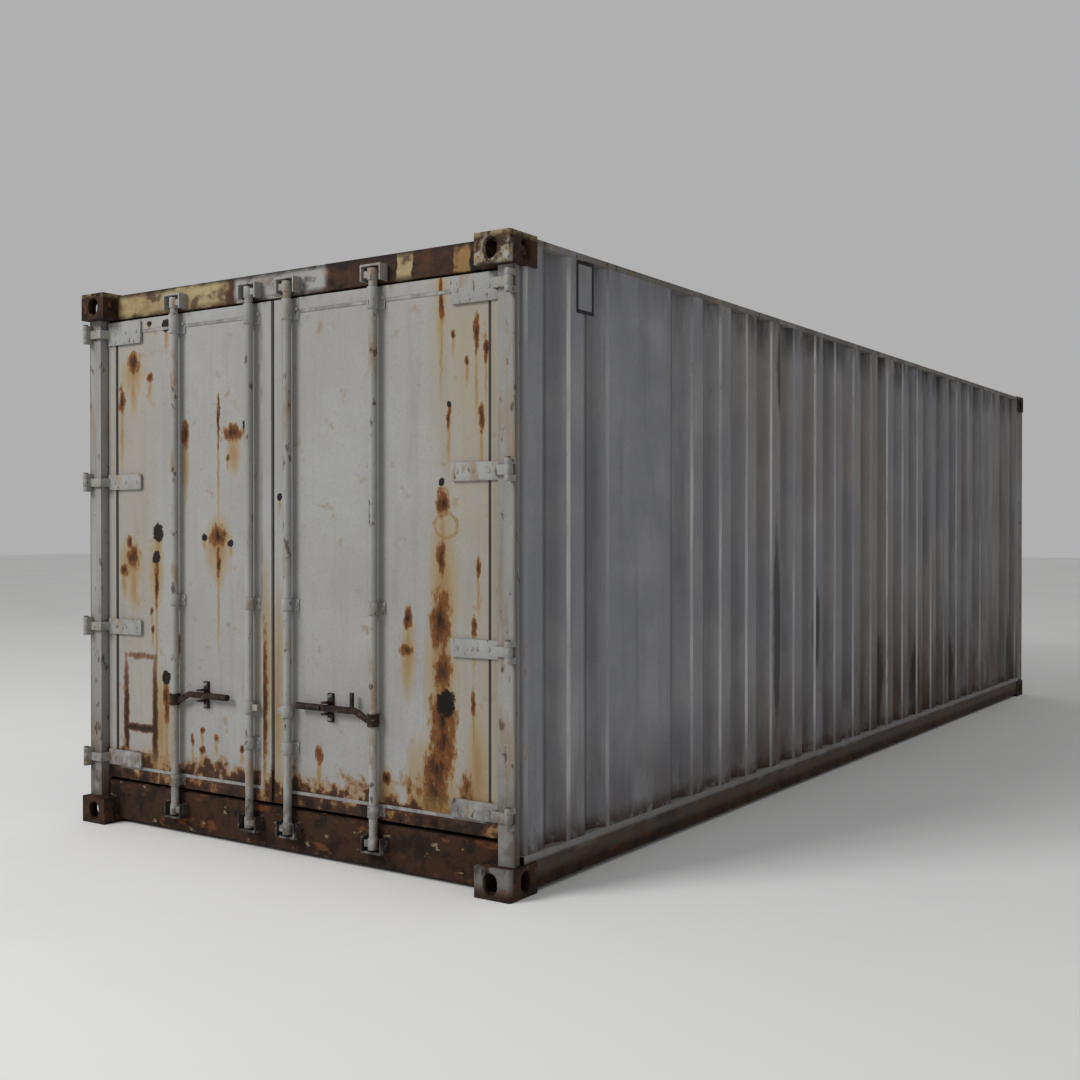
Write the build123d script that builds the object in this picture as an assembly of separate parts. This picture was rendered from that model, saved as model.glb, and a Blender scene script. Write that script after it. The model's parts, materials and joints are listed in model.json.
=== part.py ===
from build123d import *
import os
from math import hypot

# A steel shipping container with flat panel doors, in millimetres.
# X runs along the box, from the door end (negative) to the blind front end (positive).
# Y runs across it, with the right-hand door leaf on the negative side. Z is up.
# The origin is the middle of the footprint, level with the feet of the corner castings.
# Near a corner, "end" depths are measured inwards from the castings' end faces along X,
# and "side" depths inwards from the castings' side faces along Y.

# Overall size, over the corner castings
LENGTH = 7315.0
WIDTH = 2438.0
HEIGHT = 2438.0

# Corner castings
CASTING_LENGTH = 178.0
CASTING_WIDTH = 162.0
CASTING_HEIGHT = 118.0
CASTING_WALL = 22.0
CASTING_ROUND = 12.0
SLOT_LENGTH = 124.0
SLOT_WIDTH = 63.5
SLOT_FROM_END = 102.5
SLOT_FROM_SIDE = 89.5
HOLE_HEIGHT = 82.0
HOLE_WIDTH = 64.0

# Rails, walls and roof stand back from the castings' faces
TOP_RECESS = 6.0
SIDE_RECESS = 8.0
FOOT_CLEARANCE = 18.0

# Corner posts: hollow pressed sections, their side faces sloping inwards from the corner
POST_WALL = 6.0
DOOR_POST_END_DEPTH = 45.0
DOOR_POST_INNER_SIDE = 86.0
POST_INNER_END = 105.0
POST_GROOVE_DEPTH = 20.0

# Rails
TOP_RAIL_WIDTH = 60.0
TOP_RAIL_HEIGHT = 26.0
TOP_RAIL_WALL = 4.0
BOTTOM_RAIL_HEIGHT = 132.0
BOTTOM_RAIL_TOP_FLANGE = 48.0
BOTTOM_RAIL_FOOT_FLANGE = 30.0
BOTTOM_RAIL_WALL = 4.5

# Corrugated wall sheets
SHEET = 2.0
RIDGE_WIDTH = 112.0
RIDGE_SLOPE = 68.0
RIDGE_DEPTH = 36.0
RIDGE_PITCH = 292.0
POST_STEP = 9.0
END_RIDGES = 2
MARKING_PANEL_WIDTH = 535.0
MARKING_PANEL_VALLEY = 66.0

# Roof sheet
ROOF_PRESSING_HEIGHT = 18.0
ROOF_PRESSING_WIDTH = 110.0
ROOF_PRESSING_PITCH = 209.0
ROOF_PRESSING_TAPER = 35.0
ROOF_EDGE = 100.0

# Floor
FLOOR_THICKNESS = 28.0
FLOOR_SHEETS = 6
FLOOR_JOINT = 2.0
FLOOR_EDGE_GAP = 2.0
CROSS_MEMBER_HEIGHT = 110.0
CROSS_MEMBER_FLANGE = 45.0
CROSS_MEMBER_WALL = 4.0
CROSS_MEMBER_SPACING = 380.0

# Door header and sill
HEADER_DEPTH = 70.0
HEADER_WALL = 5.0
HEADER_LIFT = 2.0
SILL_TOP = 188.0
SILL_TOP_FLANGE = 92.0
SILL_FOOT_FLANGE = 50.0
SILL_WALL = 5.0

# Door leaves
LEAF_FACE_DEPTH = 84.0
LEAF_THICKNESS = 36.0
LEAF_CHANNEL_WIDTH = 50.0
LEAF_CHANNEL_WALL = 4.0
LEAF_HINGE_GAP = 8.0
LEAF_TOP_GAP = 8.0
LEAF_FOOT_GAP = 17.0
SEAM_OFFSET = 60.0
SEAM_GAP = 18.0
GASKET_THICKNESS = 3.0
GASKET_WIDTH = 24.0

# Hinges
HINGE_FOOT_INSET = 95.0
HINGE_TOP_INSET = 57.0
HINGE_SHARES = (0.0, 0.31, 0.65, 1.0)
HINGE_END_DEPTH = 14.0
HINGE_SIDE_DEPTH = 18.0
PIN_RADIUS = 8.0
PIN_HEAD_RADIUS = 11.0
PIN_HEAD_HEIGHT = 5.0
PIN_FIXED_CLEARANCE = 0.15
PIN_RUNNING_CLEARANCE = 0.3
KNUCKLE_RADIUS = 13.0
LUG_HEIGHT = 22.0
LUG_PLAY = 0.5
BLADE_HEIGHT = 38.0
BLADE_ARM = 10.0
BLADE_POST_CLEARANCE = 6.0
BLADE_FOOT = 10.0
STRAP_REACH = 235.0
STRAP_HEIGHT = 70.0
TOP_STRAP_HEIGHT = 104.0
STRAP_ROUND = 10.0

# Locking bars and their guides
BAR_RADIUS = 17.0
BAR_WALL = 4.0
BAR_STANDOFF = 28.0
BAR_RUNNING_CLEARANCE = 0.4
INNER_BAR_OFFSET = 112.0
BAR_TOP_INSET = 60.0
BAR_FOOT_HEIGHT = 92.0
CAM_RADIUS = 21.0
CAM_HEIGHT = 46.0
CAM_LUG_REACH = 38.0
CAM_LUG_WIDTH = 22.0
CAM_LUG_HEIGHT = 26.0
GUIDE_RADIUS = 23.0
GUIDE_NECK = 28.0
GUIDE_BASE_WIDTH = 80.0
GUIDE_BASE = 6.0
GUIDE_HEIGHT = 48.0
TOP_GUIDE_HEIGHT = 86.0
TOP_GUIDE_INSET = 6.0
OUTER_GUIDE_INSET = 14.0
MIDDLE_GUIDE_RISE = 1018.0
INNER_GUIDE_RISE = 425.0

# Keepers, open outwards, that hold the cam ends
KEEPER_HALF_OPENING = 45.0
KEEPER_PLATE = 8.0
KEEPER_DEPTH = 46.0
KEEPER_CHEEK = 58.0
KEEPER_END_GAP = 8.0

# Handles on the outer bars, and the catches that hold them
HANDLE_RISE = 630.0
HANDLE_CRANK = 28.0
HANDLE_HUB_RADIUS = 24.0
HANDLE_HUB_HEIGHT = 50.0
HANDLE_FIT = 0.2
HANDLE_SHANK = 12.0
HANDLE_SHANK_HEIGHT = 26.0
HANDLE_BEND_START = 34.0
HANDLE_BEND_END = 96.0
HANDLE_TAB_REACH = 112.0
HANDLE_TAB_WIDTH = 14.0
HANDLE_TAB_HEIGHT = 72.0
HANDLE_GRIP_RADIUS = 14.0
HANDLE_GRIP_LENGTH = 130.0
RIGHT_HANDLE_REACH = 410.0
LEFT_HANDLE_REACH = 335.0
HANDLE_END_GAP = 58.0
STUB_REACH = 52.0
CATCH_TO_GRIP = 30.0
CATCH_WIDTH = 30.0
CATCH_HEIGHT = 118.0
CATCH_PLATE = 6.0
CATCH_PRONG = 8.0
CATCH_PLAY = 6.0
CATCH_DEPTH = 46.0

# Sides and ends
RIGHT = -1
LEFT = 1
DOOR = -1
FRONT = 1

# Places worked out from the sizes above
HALF_LENGTH = LENGTH / 2
HALF_WIDTH = WIDTH / 2
RAIL_TOP = HEIGHT - TOP_RECESS
WALL_TOP = RAIL_TOP - TOP_RAIL_HEIGHT
WALL_FOOT = FOOT_CLEARANCE + BOTTOM_RAIL_HEIGHT
POST_TOP = HEIGHT - CASTING_HEIGHT
HEADER_FOOT = POST_TOP + HEADER_LIFT
FLOOR_FOOT = WALL_FOOT - BOTTOM_RAIL_WALL
WALL_START = POST_INNER_END + POST_STEP
LEAF_TOP = POST_TOP - LEAF_TOP_GAP
LEAF_FOOT = SILL_TOP + LEAF_FOOT_GAP
LEAF_HINGE_SIDE = DOOR_POST_INNER_SIDE + LEAF_HINGE_GAP
LEAF_BACK_DEPTH = LEAF_FACE_DEPTH + LEAF_THICKNESS
PANEL_FACE_DEPTH = LEAF_FACE_DEPTH + LEAF_CHANNEL_WALL
BAR_END_DEPTH = LEAF_FACE_DEPTH - BAR_STANDOFF
BAR_TOP = HEIGHT - BAR_TOP_INSET
HINGE_ARM_BACK = DOOR_POST_END_DEPTH - BLADE_POST_CLEARANCE
STRAP_FACE_DEPTH = LEAF_FACE_DEPTH - BLADE_FOOT
HUB_RISE = HANDLE_RISE - HANDLE_CRANK
OUTER_BAR_OFFSET = INNER_BAR_OFFSET + max(RIGHT_HANDLE_REACH, LEFT_HANDLE_REACH) + HANDLE_END_GAP


def corner_point(end, side, end_depth, side_depth):
    """Turn depths from a corner's casting faces into a point in plan."""
    return (end * (HALF_LENGTH - end_depth), side * (HALF_WIDTH - side_depth))


def block(start, stop):
    """Make a box from one corner to the opposite one, in any order."""
    size = [abs(b - a) for a, b in zip(start, stop)]
    middle = [(a + b) / 2 for a, b in zip(start, stop)]
    return Pos(*middle) * Box(*size)


def corner_block(end, side, end_depths, side_depths, heights):
    """Make a box from depths at a corner."""
    start = corner_point(end, side, end_depths[0], side_depths[0])
    stop = corner_point(end, side, end_depths[1], side_depths[1])
    return block((*start, heights[0]), (*stop, heights[1]))


def upright(points, foot, top):
    """Extrude a closed outline in plan from one height to another."""
    face = make_face(Polyline(*points, close=True))
    return Pos(0, 0, foot) * extrude(face, amount=top - foot, dir=(0, 0, 1))


def along_length(points, start, stop):
    """Extrude a closed outline in Y and Z along X."""
    face = Plane.YZ * make_face(Polyline(*points, close=True))
    return Pos(start, 0, 0) * extrude(face, amount=stop - start, dir=(1, 0, 0))


def along_width(points, start, stop):
    """Extrude a closed outline in X and Z along Y."""
    face = Plane.XZ * make_face(Polyline(*points, close=True))
    return Pos(0, start, 0) * extrude(face, amount=stop - start, dir=(0, 1, 0))


def upright_cylinder(point, radius, foot, top):
    """Make a round bar from one height to another at a point in plan."""
    return Pos(*point, (foot + top) / 2) * Cylinder(radius, top - foot)


def corner_castings():
    """Make the solid envelopes of all eight castings, to notch what meets them."""
    envelopes = []
    for end in (DOOR, FRONT):
        for side in (RIGHT, LEFT):
            for foot in (0.0, POST_TOP):
                envelopes.append(corner_block(
                    end, side, (0.0, CASTING_LENGTH), (0.0, CASTING_WIDTH),
                    (foot, foot + CASTING_HEIGHT)))
    return envelopes


def notched(shape):
    """Cut the castings' envelopes out of a rail, sheet or sill that meets them."""
    return shape - corner_castings()


def corner_casting(end, side, top):
    """Make one hollow casting: a lock slot in its end plate, a hand hole in its two outer faces."""
    foot = POST_TOP if top else 0.0
    crown = foot + CASTING_HEIGHT
    body = corner_block(end, side, (0.0, CASTING_LENGTH), (0.0, CASTING_WIDTH), (foot, crown))
    outer = corner_point(end, side, 0.0, 0.0)
    corner = [edge for edge in body.edges().filter_by(Axis.Z)
              if hypot(edge.center().X - outer[0], edge.center().Y - outer[1]) < CASTING_ROUND]
    body = fillet(corner, CASTING_ROUND)
    body -= corner_block(
        end, side, (CASTING_WALL, CASTING_LENGTH - CASTING_WALL),
        (CASTING_WALL, CASTING_WIDTH - CASTING_WALL), (foot + CASTING_WALL, crown - CASTING_WALL))
    slot_x, slot_y = corner_point(end, side, SLOT_FROM_END, SLOT_FROM_SIDE)
    slot_foot = crown - CASTING_WALL if top else foot
    slot = extrude(SlotOverall(SLOT_LENGTH, SLOT_WIDTH), amount=CASTING_WALL)
    body -= Pos(slot_x, slot_y, slot_foot) * slot
    middle = foot + CASTING_HEIGHT / 2
    hole = extrude(SlotOverall(HOLE_HEIGHT, HOLE_WIDTH), amount=CASTING_WALL, both=True)
    upright_hole = Rot(0, 90, 0) * hole
    body -= Pos(end * HALF_LENGTH, slot_y, middle) * upright_hole
    body -= Pos(slot_x, side * HALF_WIDTH, middle) * Rot(0, 0, 90) * upright_hole
    return body


def post(outline, inner):
    """Make a hollow post between two castings."""
    return upright(outline, CASTING_HEIGHT, POST_TOP) - upright(inner, CASTING_HEIGHT, POST_TOP)


def door_post(side):
    """Make a door post: a flat end face beside the leaf, a side face that slopes inwards."""
    groove = SIDE_RECESS + POST_GROOVE_DEPTH

    def outline(wall):
        depths = (
            (DOOR_POST_END_DEPTH + wall, SIDE_RECESS + wall),
            (POST_INNER_END - wall, groove + wall),
            (POST_INNER_END - wall, DOOR_POST_INNER_SIDE - wall),
            (DOOR_POST_END_DEPTH + wall, DOOR_POST_INNER_SIDE - wall),
        )
        return [corner_point(DOOR, side, *depth) for depth in depths]

    return post(outline(0.0), outline(POST_WALL))


def front_post(side):
    """Make a front post: both outer faces slope inwards from the corner."""
    groove = SIDE_RECESS + POST_GROOVE_DEPTH

    def outline(wall):
        depths = (
            (SIDE_RECESS + wall, SIDE_RECESS + wall),
            (POST_INNER_END - wall, groove + wall),
            (POST_INNER_END - wall, POST_INNER_END - wall),
            (groove + wall, POST_INNER_END - wall),
        )
        return [corner_point(FRONT, side, *depth) for depth in depths]

    return post(outline(0.0), outline(POST_WALL))


def channel(outer, top_flange, foot_flange, foot, top, wall):
    """Outline a channel whose web is at outer and whose flanges reach towards larger depths."""
    return (
        (outer, foot),
        (outer + foot_flange, foot),
        (outer + foot_flange, foot + wall),
        (outer + wall, foot + wall),
        (outer + wall, top - wall),
        (outer + top_flange, top - wall),
        (outer + top_flange, top),
        (outer, top),
    )


def tube(outer, width, foot, top, wall):
    """Outline the outside and inside of a rectangular tube."""
    outside = ((outer, foot), (outer + width, foot), (outer + width, top), (outer, top))
    inside = (
        (outer + wall, foot + wall), (outer + width - wall, foot + wall),
        (outer + width - wall, top - wall), (outer + wall, top - wall),
    )
    return outside, inside


def side_outline(side, outline):
    """Turn side depths in an outline into Y."""
    return [(side * (HALF_WIDTH - depth), height) for depth, height in outline]


def end_outline(end, outline):
    """Turn end depths in an outline into X."""
    return [(end * (HALF_LENGTH - depth), height) for depth, height in outline]


def bottom_side_rail(side):
    """Make a channel rail that opens inwards and laps over the bottom castings to the posts."""
    outline = channel(SIDE_RECESS, BOTTOM_RAIL_TOP_FLANGE, BOTTOM_RAIL_FOOT_FLANGE,
                      FOOT_CLEARANCE, WALL_FOOT, BOTTOM_RAIL_WALL)
    reach = HALF_LENGTH - POST_INNER_END
    return notched(along_length(side_outline(side, outline), -reach, reach))


def top_side_rail(side):
    """Make the flat tube between two top castings."""
    outside, inside = tube(SIDE_RECESS, TOP_RAIL_WIDTH, WALL_TOP, RAIL_TOP, TOP_RAIL_WALL)
    reach = HALF_LENGTH - CASTING_LENGTH
    rail = along_length(side_outline(side, outside), -reach, reach)
    return rail - along_length(side_outline(side, inside), -reach, reach)


def front_bottom_rail():
    """Make the channel rail across the foot of the front wall."""
    outline = channel(SIDE_RECESS, BOTTOM_RAIL_TOP_FLANGE, BOTTOM_RAIL_FOOT_FLANGE,
                      FOOT_CLEARANCE, WALL_FOOT, BOTTOM_RAIL_WALL)
    reach = HALF_WIDTH - POST_INNER_END
    return notched(along_width(end_outline(FRONT, outline), -reach, reach))


def front_top_rail():
    """Make the flat tube over the front wall."""
    outside, inside = tube(SIDE_RECESS, TOP_RAIL_WIDTH, WALL_TOP, RAIL_TOP, TOP_RAIL_WALL)
    reach = HALF_WIDTH - CASTING_WIDTH
    rail = along_width(end_outline(FRONT, outside), -reach, reach)
    return rail - along_width(end_outline(FRONT, inside), -reach, reach)


def door_header():
    """Make the rectangular tube over the doors, between the top castings."""
    outside, inside = tube(LEAF_FACE_DEPTH, HEADER_DEPTH, HEADER_FOOT, RAIL_TOP, HEADER_WALL)
    reach = HALF_WIDTH - CASTING_WIDTH
    header = along_width(end_outline(DOOR, outside), -reach, reach)
    return header - along_width(end_outline(DOOR, inside), -reach, reach)


def door_sill():
    """Make the channel under the doors, which runs over the castings to the posts."""
    outline = channel(LEAF_FACE_DEPTH, SILL_TOP_FLANGE, SILL_FOOT_FLANGE,
                      FOOT_CLEARANCE, SILL_TOP, SILL_WALL)
    reach = HALF_WIDTH - DOOR_POST_INNER_SIDE
    return notched(along_width(end_outline(DOOR, outline), -reach, reach))


def sheet_outline(points):
    """Close an open outline of run and depth into a bent sheet of constant thickness."""
    normals = []
    for (run_a, depth_a), (run_b, depth_b) in zip(points, points[1:]):
        length = hypot(run_b - run_a, depth_b - depth_a)
        normals.append(((depth_a - depth_b) / length, (run_b - run_a) / length))
    inner = [(points[0][0], points[0][1] + SHEET / normals[0][1])]
    for (run, depth), before, after in zip(points[1:], normals, normals[1:]):
        stretch = SHEET / (1 + before[0] * after[0] + before[1] * after[1])
        inner.append((run + stretch * (before[0] + after[0]), depth + stretch * (before[1] + after[1])))
    inner.append((points[-1][0], points[-1][1] + SHEET / normals[-1][1]))
    return list(points) + inner[::-1]


def ridged_run(ridges, start, stop):
    """Outline the outside of a wall: raised ridges between two grooves at the posts."""
    groove = SIDE_RECESS + POST_GROOVE_DEPTH
    valley = SIDE_RECESS + RIDGE_DEPTH
    points = [(start, groove)]
    for index, (ridge_start, ridge_stop) in enumerate(ridges):
        if index > 0:
            points.append((ridge_start - RIDGE_SLOPE, valley))
        points.append((ridge_start, SIDE_RECESS))
        points.append((ridge_stop, SIDE_RECESS))
        if index < len(ridges) - 1:
            points.append((ridge_stop + RIDGE_SLOPE, valley))
    points.append((stop, groove))
    return points


def even_ridges(start, stop):
    """Spread ridges evenly from start to stop, at about the usual pitch."""
    count = round((stop - start - RIDGE_WIDTH) / RIDGE_PITCH) + 1
    pitch = (stop - start - RIDGE_WIDTH) / (count - 1)
    return [(start + index * pitch, start + index * pitch + RIDGE_WIDTH) for index in range(count)]


def side_wall_ridges():
    """Lay out a long wall: end ridges, a flat marking panel, ridges, and the same in mirror."""
    near = [(WALL_START + index * RIDGE_PITCH, WALL_START + index * RIDGE_PITCH + RIDGE_WIDTH)
            for index in range(END_RIDGES)]
    panel_start = WALL_START + END_RIDGES * RIDGE_PITCH
    panel_stop = panel_start + MARKING_PANEL_WIDTH
    near.append((panel_start, panel_stop))
    middle_start = panel_stop + 2 * RIDGE_SLOPE + MARKING_PANEL_VALLEY
    far = [(LENGTH - stop, LENGTH - start) for start, stop in reversed(near)]
    return near + even_ridges(middle_start, LENGTH - middle_start) + far


def side_wall(side):
    """Make one corrugated long wall."""
    run = ridged_run(side_wall_ridges(), POST_INNER_END, LENGTH - POST_INNER_END)
    outline = [corner_point(DOOR, side, distance, depth) for distance, depth in sheet_outline(run)]
    return notched(upright(outline, WALL_FOOT, WALL_TOP))


def front_wall():
    """Make the corrugated front wall."""
    ridges = even_ridges(WALL_START, WIDTH - WALL_START)
    run = ridged_run(ridges, POST_INNER_END, WIDTH - POST_INNER_END)
    outline = [corner_point(FRONT, RIGHT, depth, distance) for distance, depth in sheet_outline(run)]
    return notched(upright(outline, WALL_FOOT, WALL_TOP))


def roof_flat_top():
    """Give the height of the roof's flat stretches."""
    return RAIL_TOP - ROOF_PRESSING_HEIGHT


def roof_sheet():
    """Make the roof: a sheet between the top rails, with raised cross pressings hollow below."""
    reach = HALF_LENGTH - CASTING_LENGTH
    half_width = HALF_WIDTH - SIDE_RECESS - TOP_RAIL_WIDTH
    flat_top = roof_flat_top()
    sheet = block((-reach, -half_width, flat_top - SHEET), (reach, half_width, flat_top))
    pad_length = 2 * (half_width - ROOF_EDGE)
    count = round(2 * reach / ROOF_PRESSING_PITCH)
    pitch = 2 * reach / count
    places = [pitch * (index + 0.5) - reach for index in range(count)]
    outside = extrude(Rectangle(ROOF_PRESSING_WIDTH, pad_length),
                      amount=ROOF_PRESSING_HEIGHT, taper=ROOF_PRESSING_TAPER)
    inside = extrude(Rectangle(ROOF_PRESSING_WIDTH - 2 * SHEET, pad_length - 2 * SHEET),
                     amount=ROOF_PRESSING_HEIGHT, taper=ROOF_PRESSING_TAPER)
    sheet += [Pos(place, 0, flat_top) * outside for place in places]
    return sheet - [Pos(place, 0, flat_top - SHEET) * inside for place in places]


def roof_end_plates():
    """Make the flat plates between the top castings, from the roof sheet to header and front rail."""
    plates = []
    for end, edge in ((DOOR, LEAF_FACE_DEPTH + HEADER_DEPTH), (FRONT, SIDE_RECESS + TOP_RAIL_WIDTH)):
        near = end * (HALF_LENGTH - edge)
        far = end * (HALF_LENGTH - CASTING_LENGTH)
        reach = HALF_WIDTH - CASTING_WIDTH
        plates.append(block((near, -reach, roof_flat_top() - SHEET), (far, reach, roof_flat_top())))
    return Compound(plates)


def clear_of_front_posts(shape):
    """Cut back a floor sheet or cross member at the front posts."""
    reach = (0.0, POST_INNER_END + FLOOR_EDGE_GAP)
    return shape - [corner_block(FRONT, side, reach, reach, (0.0, POST_TOP)) for side in (RIGHT, LEFT)]


def floor_span():
    """Give the floor's start and stop along X, between the sill's web and the front rail."""
    start = -HALF_LENGTH + LEAF_FACE_DEPTH + SILL_TOP_FLANGE + FLOOR_EDGE_GAP
    stop = HALF_LENGTH - SIDE_RECESS - BOTTOM_RAIL_TOP_FLANGE - FLOOR_EDGE_GAP
    return start, stop


def floor_sheets():
    """Make the plywood sheets, with open joints, lying on the cross members."""
    start, stop = floor_span()
    half_width = HALF_WIDTH - SIDE_RECESS - BOTTOM_RAIL_TOP_FLANGE - FLOOR_EDGE_GAP
    pitch = (stop - start + FLOOR_JOINT) / FLOOR_SHEETS
    sheets = []
    for index in range(FLOOR_SHEETS):
        left = start + index * pitch
        sheet = block((left, -half_width, FLOOR_FOOT),
                      (left + pitch - FLOOR_JOINT, half_width, FLOOR_FOOT + FLOOR_THICKNESS))
        sheets.append(clear_of_front_posts(sheet))
    return Compound(sheets)


def cross_members():
    """Make the channels that carry the floor, from side rail to side rail."""
    start, stop = floor_span()
    reach = HALF_WIDTH - SIDE_RECESS - BOTTOM_RAIL_WALL
    room = stop - start - CROSS_MEMBER_FLANGE
    count = round(room / CROSS_MEMBER_SPACING) + 1
    members = []
    for index in range(count):
        web = start + index * room / (count - 1)
        outline = channel(web, CROSS_MEMBER_FLANGE, CROSS_MEMBER_FLANGE,
                          FLOOR_FOOT - CROSS_MEMBER_HEIGHT, FLOOR_FOOT, CROSS_MEMBER_WALL)
        member = notched(along_width(outline, -reach, reach))
        members.append(clear_of_front_posts(member))
    return Compound(members)


def leaf_span(side):
    """Give a leaf's hinge edge and free edge as side depths from its own post."""
    seam = HALF_WIDTH - side * SEAM_OFFSET
    return LEAF_HINGE_SIDE, seam - SEAM_GAP / 2


def leaf_box(side, inset, front, back):
    """Make a box over a leaf, drawn in by an inset, between two end depths."""
    hinge_edge, free_edge = leaf_span(side)
    return corner_block(
        DOOR, side, (front, back), (hinge_edge + inset, free_edge - inset),
        (LEAF_FOOT + inset, LEAF_TOP - inset))


def leaf_channel(side):
    """Make the channel round a leaf, whose flanges grip the panel's edges."""
    groove_back = LEAF_BACK_DEPTH - LEAF_CHANNEL_WALL
    ring = leaf_box(side, 0.0, LEAF_FACE_DEPTH, LEAF_BACK_DEPTH)
    ring -= leaf_box(side, LEAF_CHANNEL_WIDTH, LEAF_FACE_DEPTH, LEAF_BACK_DEPTH)
    return ring - leaf_box(side, LEAF_CHANNEL_WALL, PANEL_FACE_DEPTH, groove_back)


def leaf_panel(side):
    """Make the flat panel that fills a leaf's channel."""
    return leaf_box(side, LEAF_CHANNEL_WALL, PANEL_FACE_DEPTH, LEAF_BACK_DEPTH - LEAF_CHANNEL_WALL)


def leaf_gasket(side):
    """Make the rubber strip round a leaf's edge."""
    front = LEAF_BACK_DEPTH - GASKET_WIDTH
    ring = leaf_box(side, -GASKET_THICKNESS, front, LEAF_BACK_DEPTH)
    return ring - leaf_box(side, 0.0, front, LEAF_BACK_DEPTH)


def hinge_point(side):
    """Give the hinge axis in plan."""
    return corner_point(DOOR, side, HINGE_END_DEPTH, HINGE_SIDE_DEPTH)


def hinge_heights():
    """Spread the hinges over a leaf's height."""
    low = LEAF_FOOT + HINGE_FOOT_INSET
    high = LEAF_TOP - HINGE_TOP_INSET
    return [low + share * (high - low) for share in HINGE_SHARES]


def hinge_lugs():
    """Make the pairs of lugs on the posts, one above and one below each blade."""
    lugs = []
    for side in (RIGHT, LEFT):
        for height in hinge_heights():
            for direction in (-1, 1):
                near = height + direction * (BLADE_HEIGHT / 2 + LUG_PLAY)
                foot, top = sorted((near, near + direction * LUG_HEIGHT))
                lug = corner_block(
                    DOOR, side, (HINGE_END_DEPTH, DOOR_POST_END_DEPTH),
                    (HINGE_SIDE_DEPTH - KNUCKLE_RADIUS, HINGE_SIDE_DEPTH + KNUCKLE_RADIUS), (foot, top))
                lug += upright_cylinder(hinge_point(side), KNUCKLE_RADIUS, foot, top)
                lug -= upright_cylinder(hinge_point(side), PIN_RADIUS + PIN_FIXED_CLEARANCE, foot, top)
                lugs.append(lug)
    return Compound(lugs)


def hinge_pins():
    """Make the headed pins, each through two lugs and a blade."""
    pins = []
    reach = BLADE_HEIGHT / 2 + LUG_PLAY + LUG_HEIGHT
    for side in (RIGHT, LEFT):
        for height in hinge_heights():
            pin = upright_cylinder(hinge_point(side), PIN_RADIUS, height - reach, height + reach)
            pin += upright_cylinder(hinge_point(side), PIN_HEAD_RADIUS,
                                    height + reach, height + reach + PIN_HEAD_HEIGHT)
            pins.append(pin)
    return Compound(pins)


def hinge_blades(side):
    """Make a leaf's blades: an eye on the pin, an arm past the post, a strap along the leaf."""
    arm_front = HINGE_ARM_BACK - BLADE_ARM
    web = LEAF_HINGE_SIDE + BLADE_FOOT
    strap_end = LEAF_HINGE_SIDE + STRAP_REACH
    depths = (
        (HINGE_END_DEPTH, HINGE_SIDE_DEPTH - KNUCKLE_RADIUS / 2),
        (HINGE_ARM_BACK, HINGE_SIDE_DEPTH - KNUCKLE_RADIUS / 2),
        (HINGE_ARM_BACK, web - BLADE_ARM),
        (LEAF_FACE_DEPTH, web),
        (LEAF_FACE_DEPTH, web + BLADE_ARM),
        (STRAP_FACE_DEPTH, web + BLADE_ARM),
        (arm_front, web),
        (arm_front, HINGE_SIDE_DEPTH + KNUCKLE_RADIUS),
        (HINGE_END_DEPTH, HINGE_SIDE_DEPTH + KNUCKLE_RADIUS),
    )
    outline = [corner_point(DOOR, side, *depth) for depth in depths]
    edge = leaf_channel(side)
    blades = []
    for height in hinge_heights():
        foot = height - BLADE_HEIGHT / 2
        top = height + BLADE_HEIGHT / 2
        blade = upright(outline, foot, top)
        blade += upright_cylinder(hinge_point(side), KNUCKLE_RADIUS, foot, top)
        blade -= upright_cylinder(hinge_point(side), PIN_RADIUS + PIN_RUNNING_CLEARANCE, foot, top)
        half = (TOP_STRAP_HEIGHT if height == max(hinge_heights()) else STRAP_HEIGHT) / 2
        strap = corner_block(DOOR, side, (STRAP_FACE_DEPTH, PANEL_FACE_DEPTH), (web, strap_end),
                             (height - half, height + half))
        free_end = strap.edges().filter_by(Axis.X).group_by(Axis.Y)[0 if side == LEFT else -1]
        blades.append(blade + fillet(free_end, STRAP_ROUND) - edge)
    return Compound(blades)


def bar_side_depth(side, offset):
    """Give the side depth of a bar that stands at an offset from the seam."""
    return HALF_WIDTH - offset - side * SEAM_OFFSET


def bar_point(side, offset):
    """Give a bar's axis in plan."""
    return corner_point(DOOR, side, BAR_END_DEPTH, bar_side_depth(side, offset))


def cam(side, offset, height):
    """Make a cam end: a sleeve with a lug that points towards the seam."""
    point = bar_point(side, offset)
    sleeve = upright_cylinder(point, CAM_RADIUS, height - CAM_HEIGHT / 2, height + CAM_HEIGHT / 2)
    lug = block(
        (point[0] - CAM_LUG_WIDTH / 2, point[1], height - CAM_LUG_HEIGHT / 2),
        (point[0] + CAM_LUG_WIDTH / 2, point[1] - side * CAM_LUG_REACH, height + CAM_LUG_HEIGHT / 2))
    return sleeve + lug


def locking_bar(side, offset):
    """Make a tubular bar with a cam at each end."""
    point = bar_point(side, offset)
    bar = upright_cylinder(point, BAR_RADIUS, BAR_FOOT_HEIGHT, BAR_TOP)
    bar += cam(side, offset, BAR_FOOT_HEIGHT + CAM_HEIGHT / 2)
    bar += cam(side, offset, BAR_TOP - CAM_HEIGHT / 2)
    return bar - upright_cylinder(point, BAR_RADIUS - BAR_WALL, BAR_FOOT_HEIGHT, BAR_TOP)


def handle_hub(side, offset):
    """Make the solid hub of a handle round a bar."""
    foot = HUB_RISE - HANDLE_HUB_HEIGHT / 2
    return upright_cylinder(bar_point(side, offset), HANDLE_HUB_RADIUS, foot, foot + HANDLE_HUB_HEIGHT)


def bored_for_bar(side, offset, shape):
    """Bore a hub so that it sits on its bar."""
    return shape - upright_cylinder(bar_point(side, offset), BAR_RADIUS + HANDLE_FIT, 0.0, HEIGHT)


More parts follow.
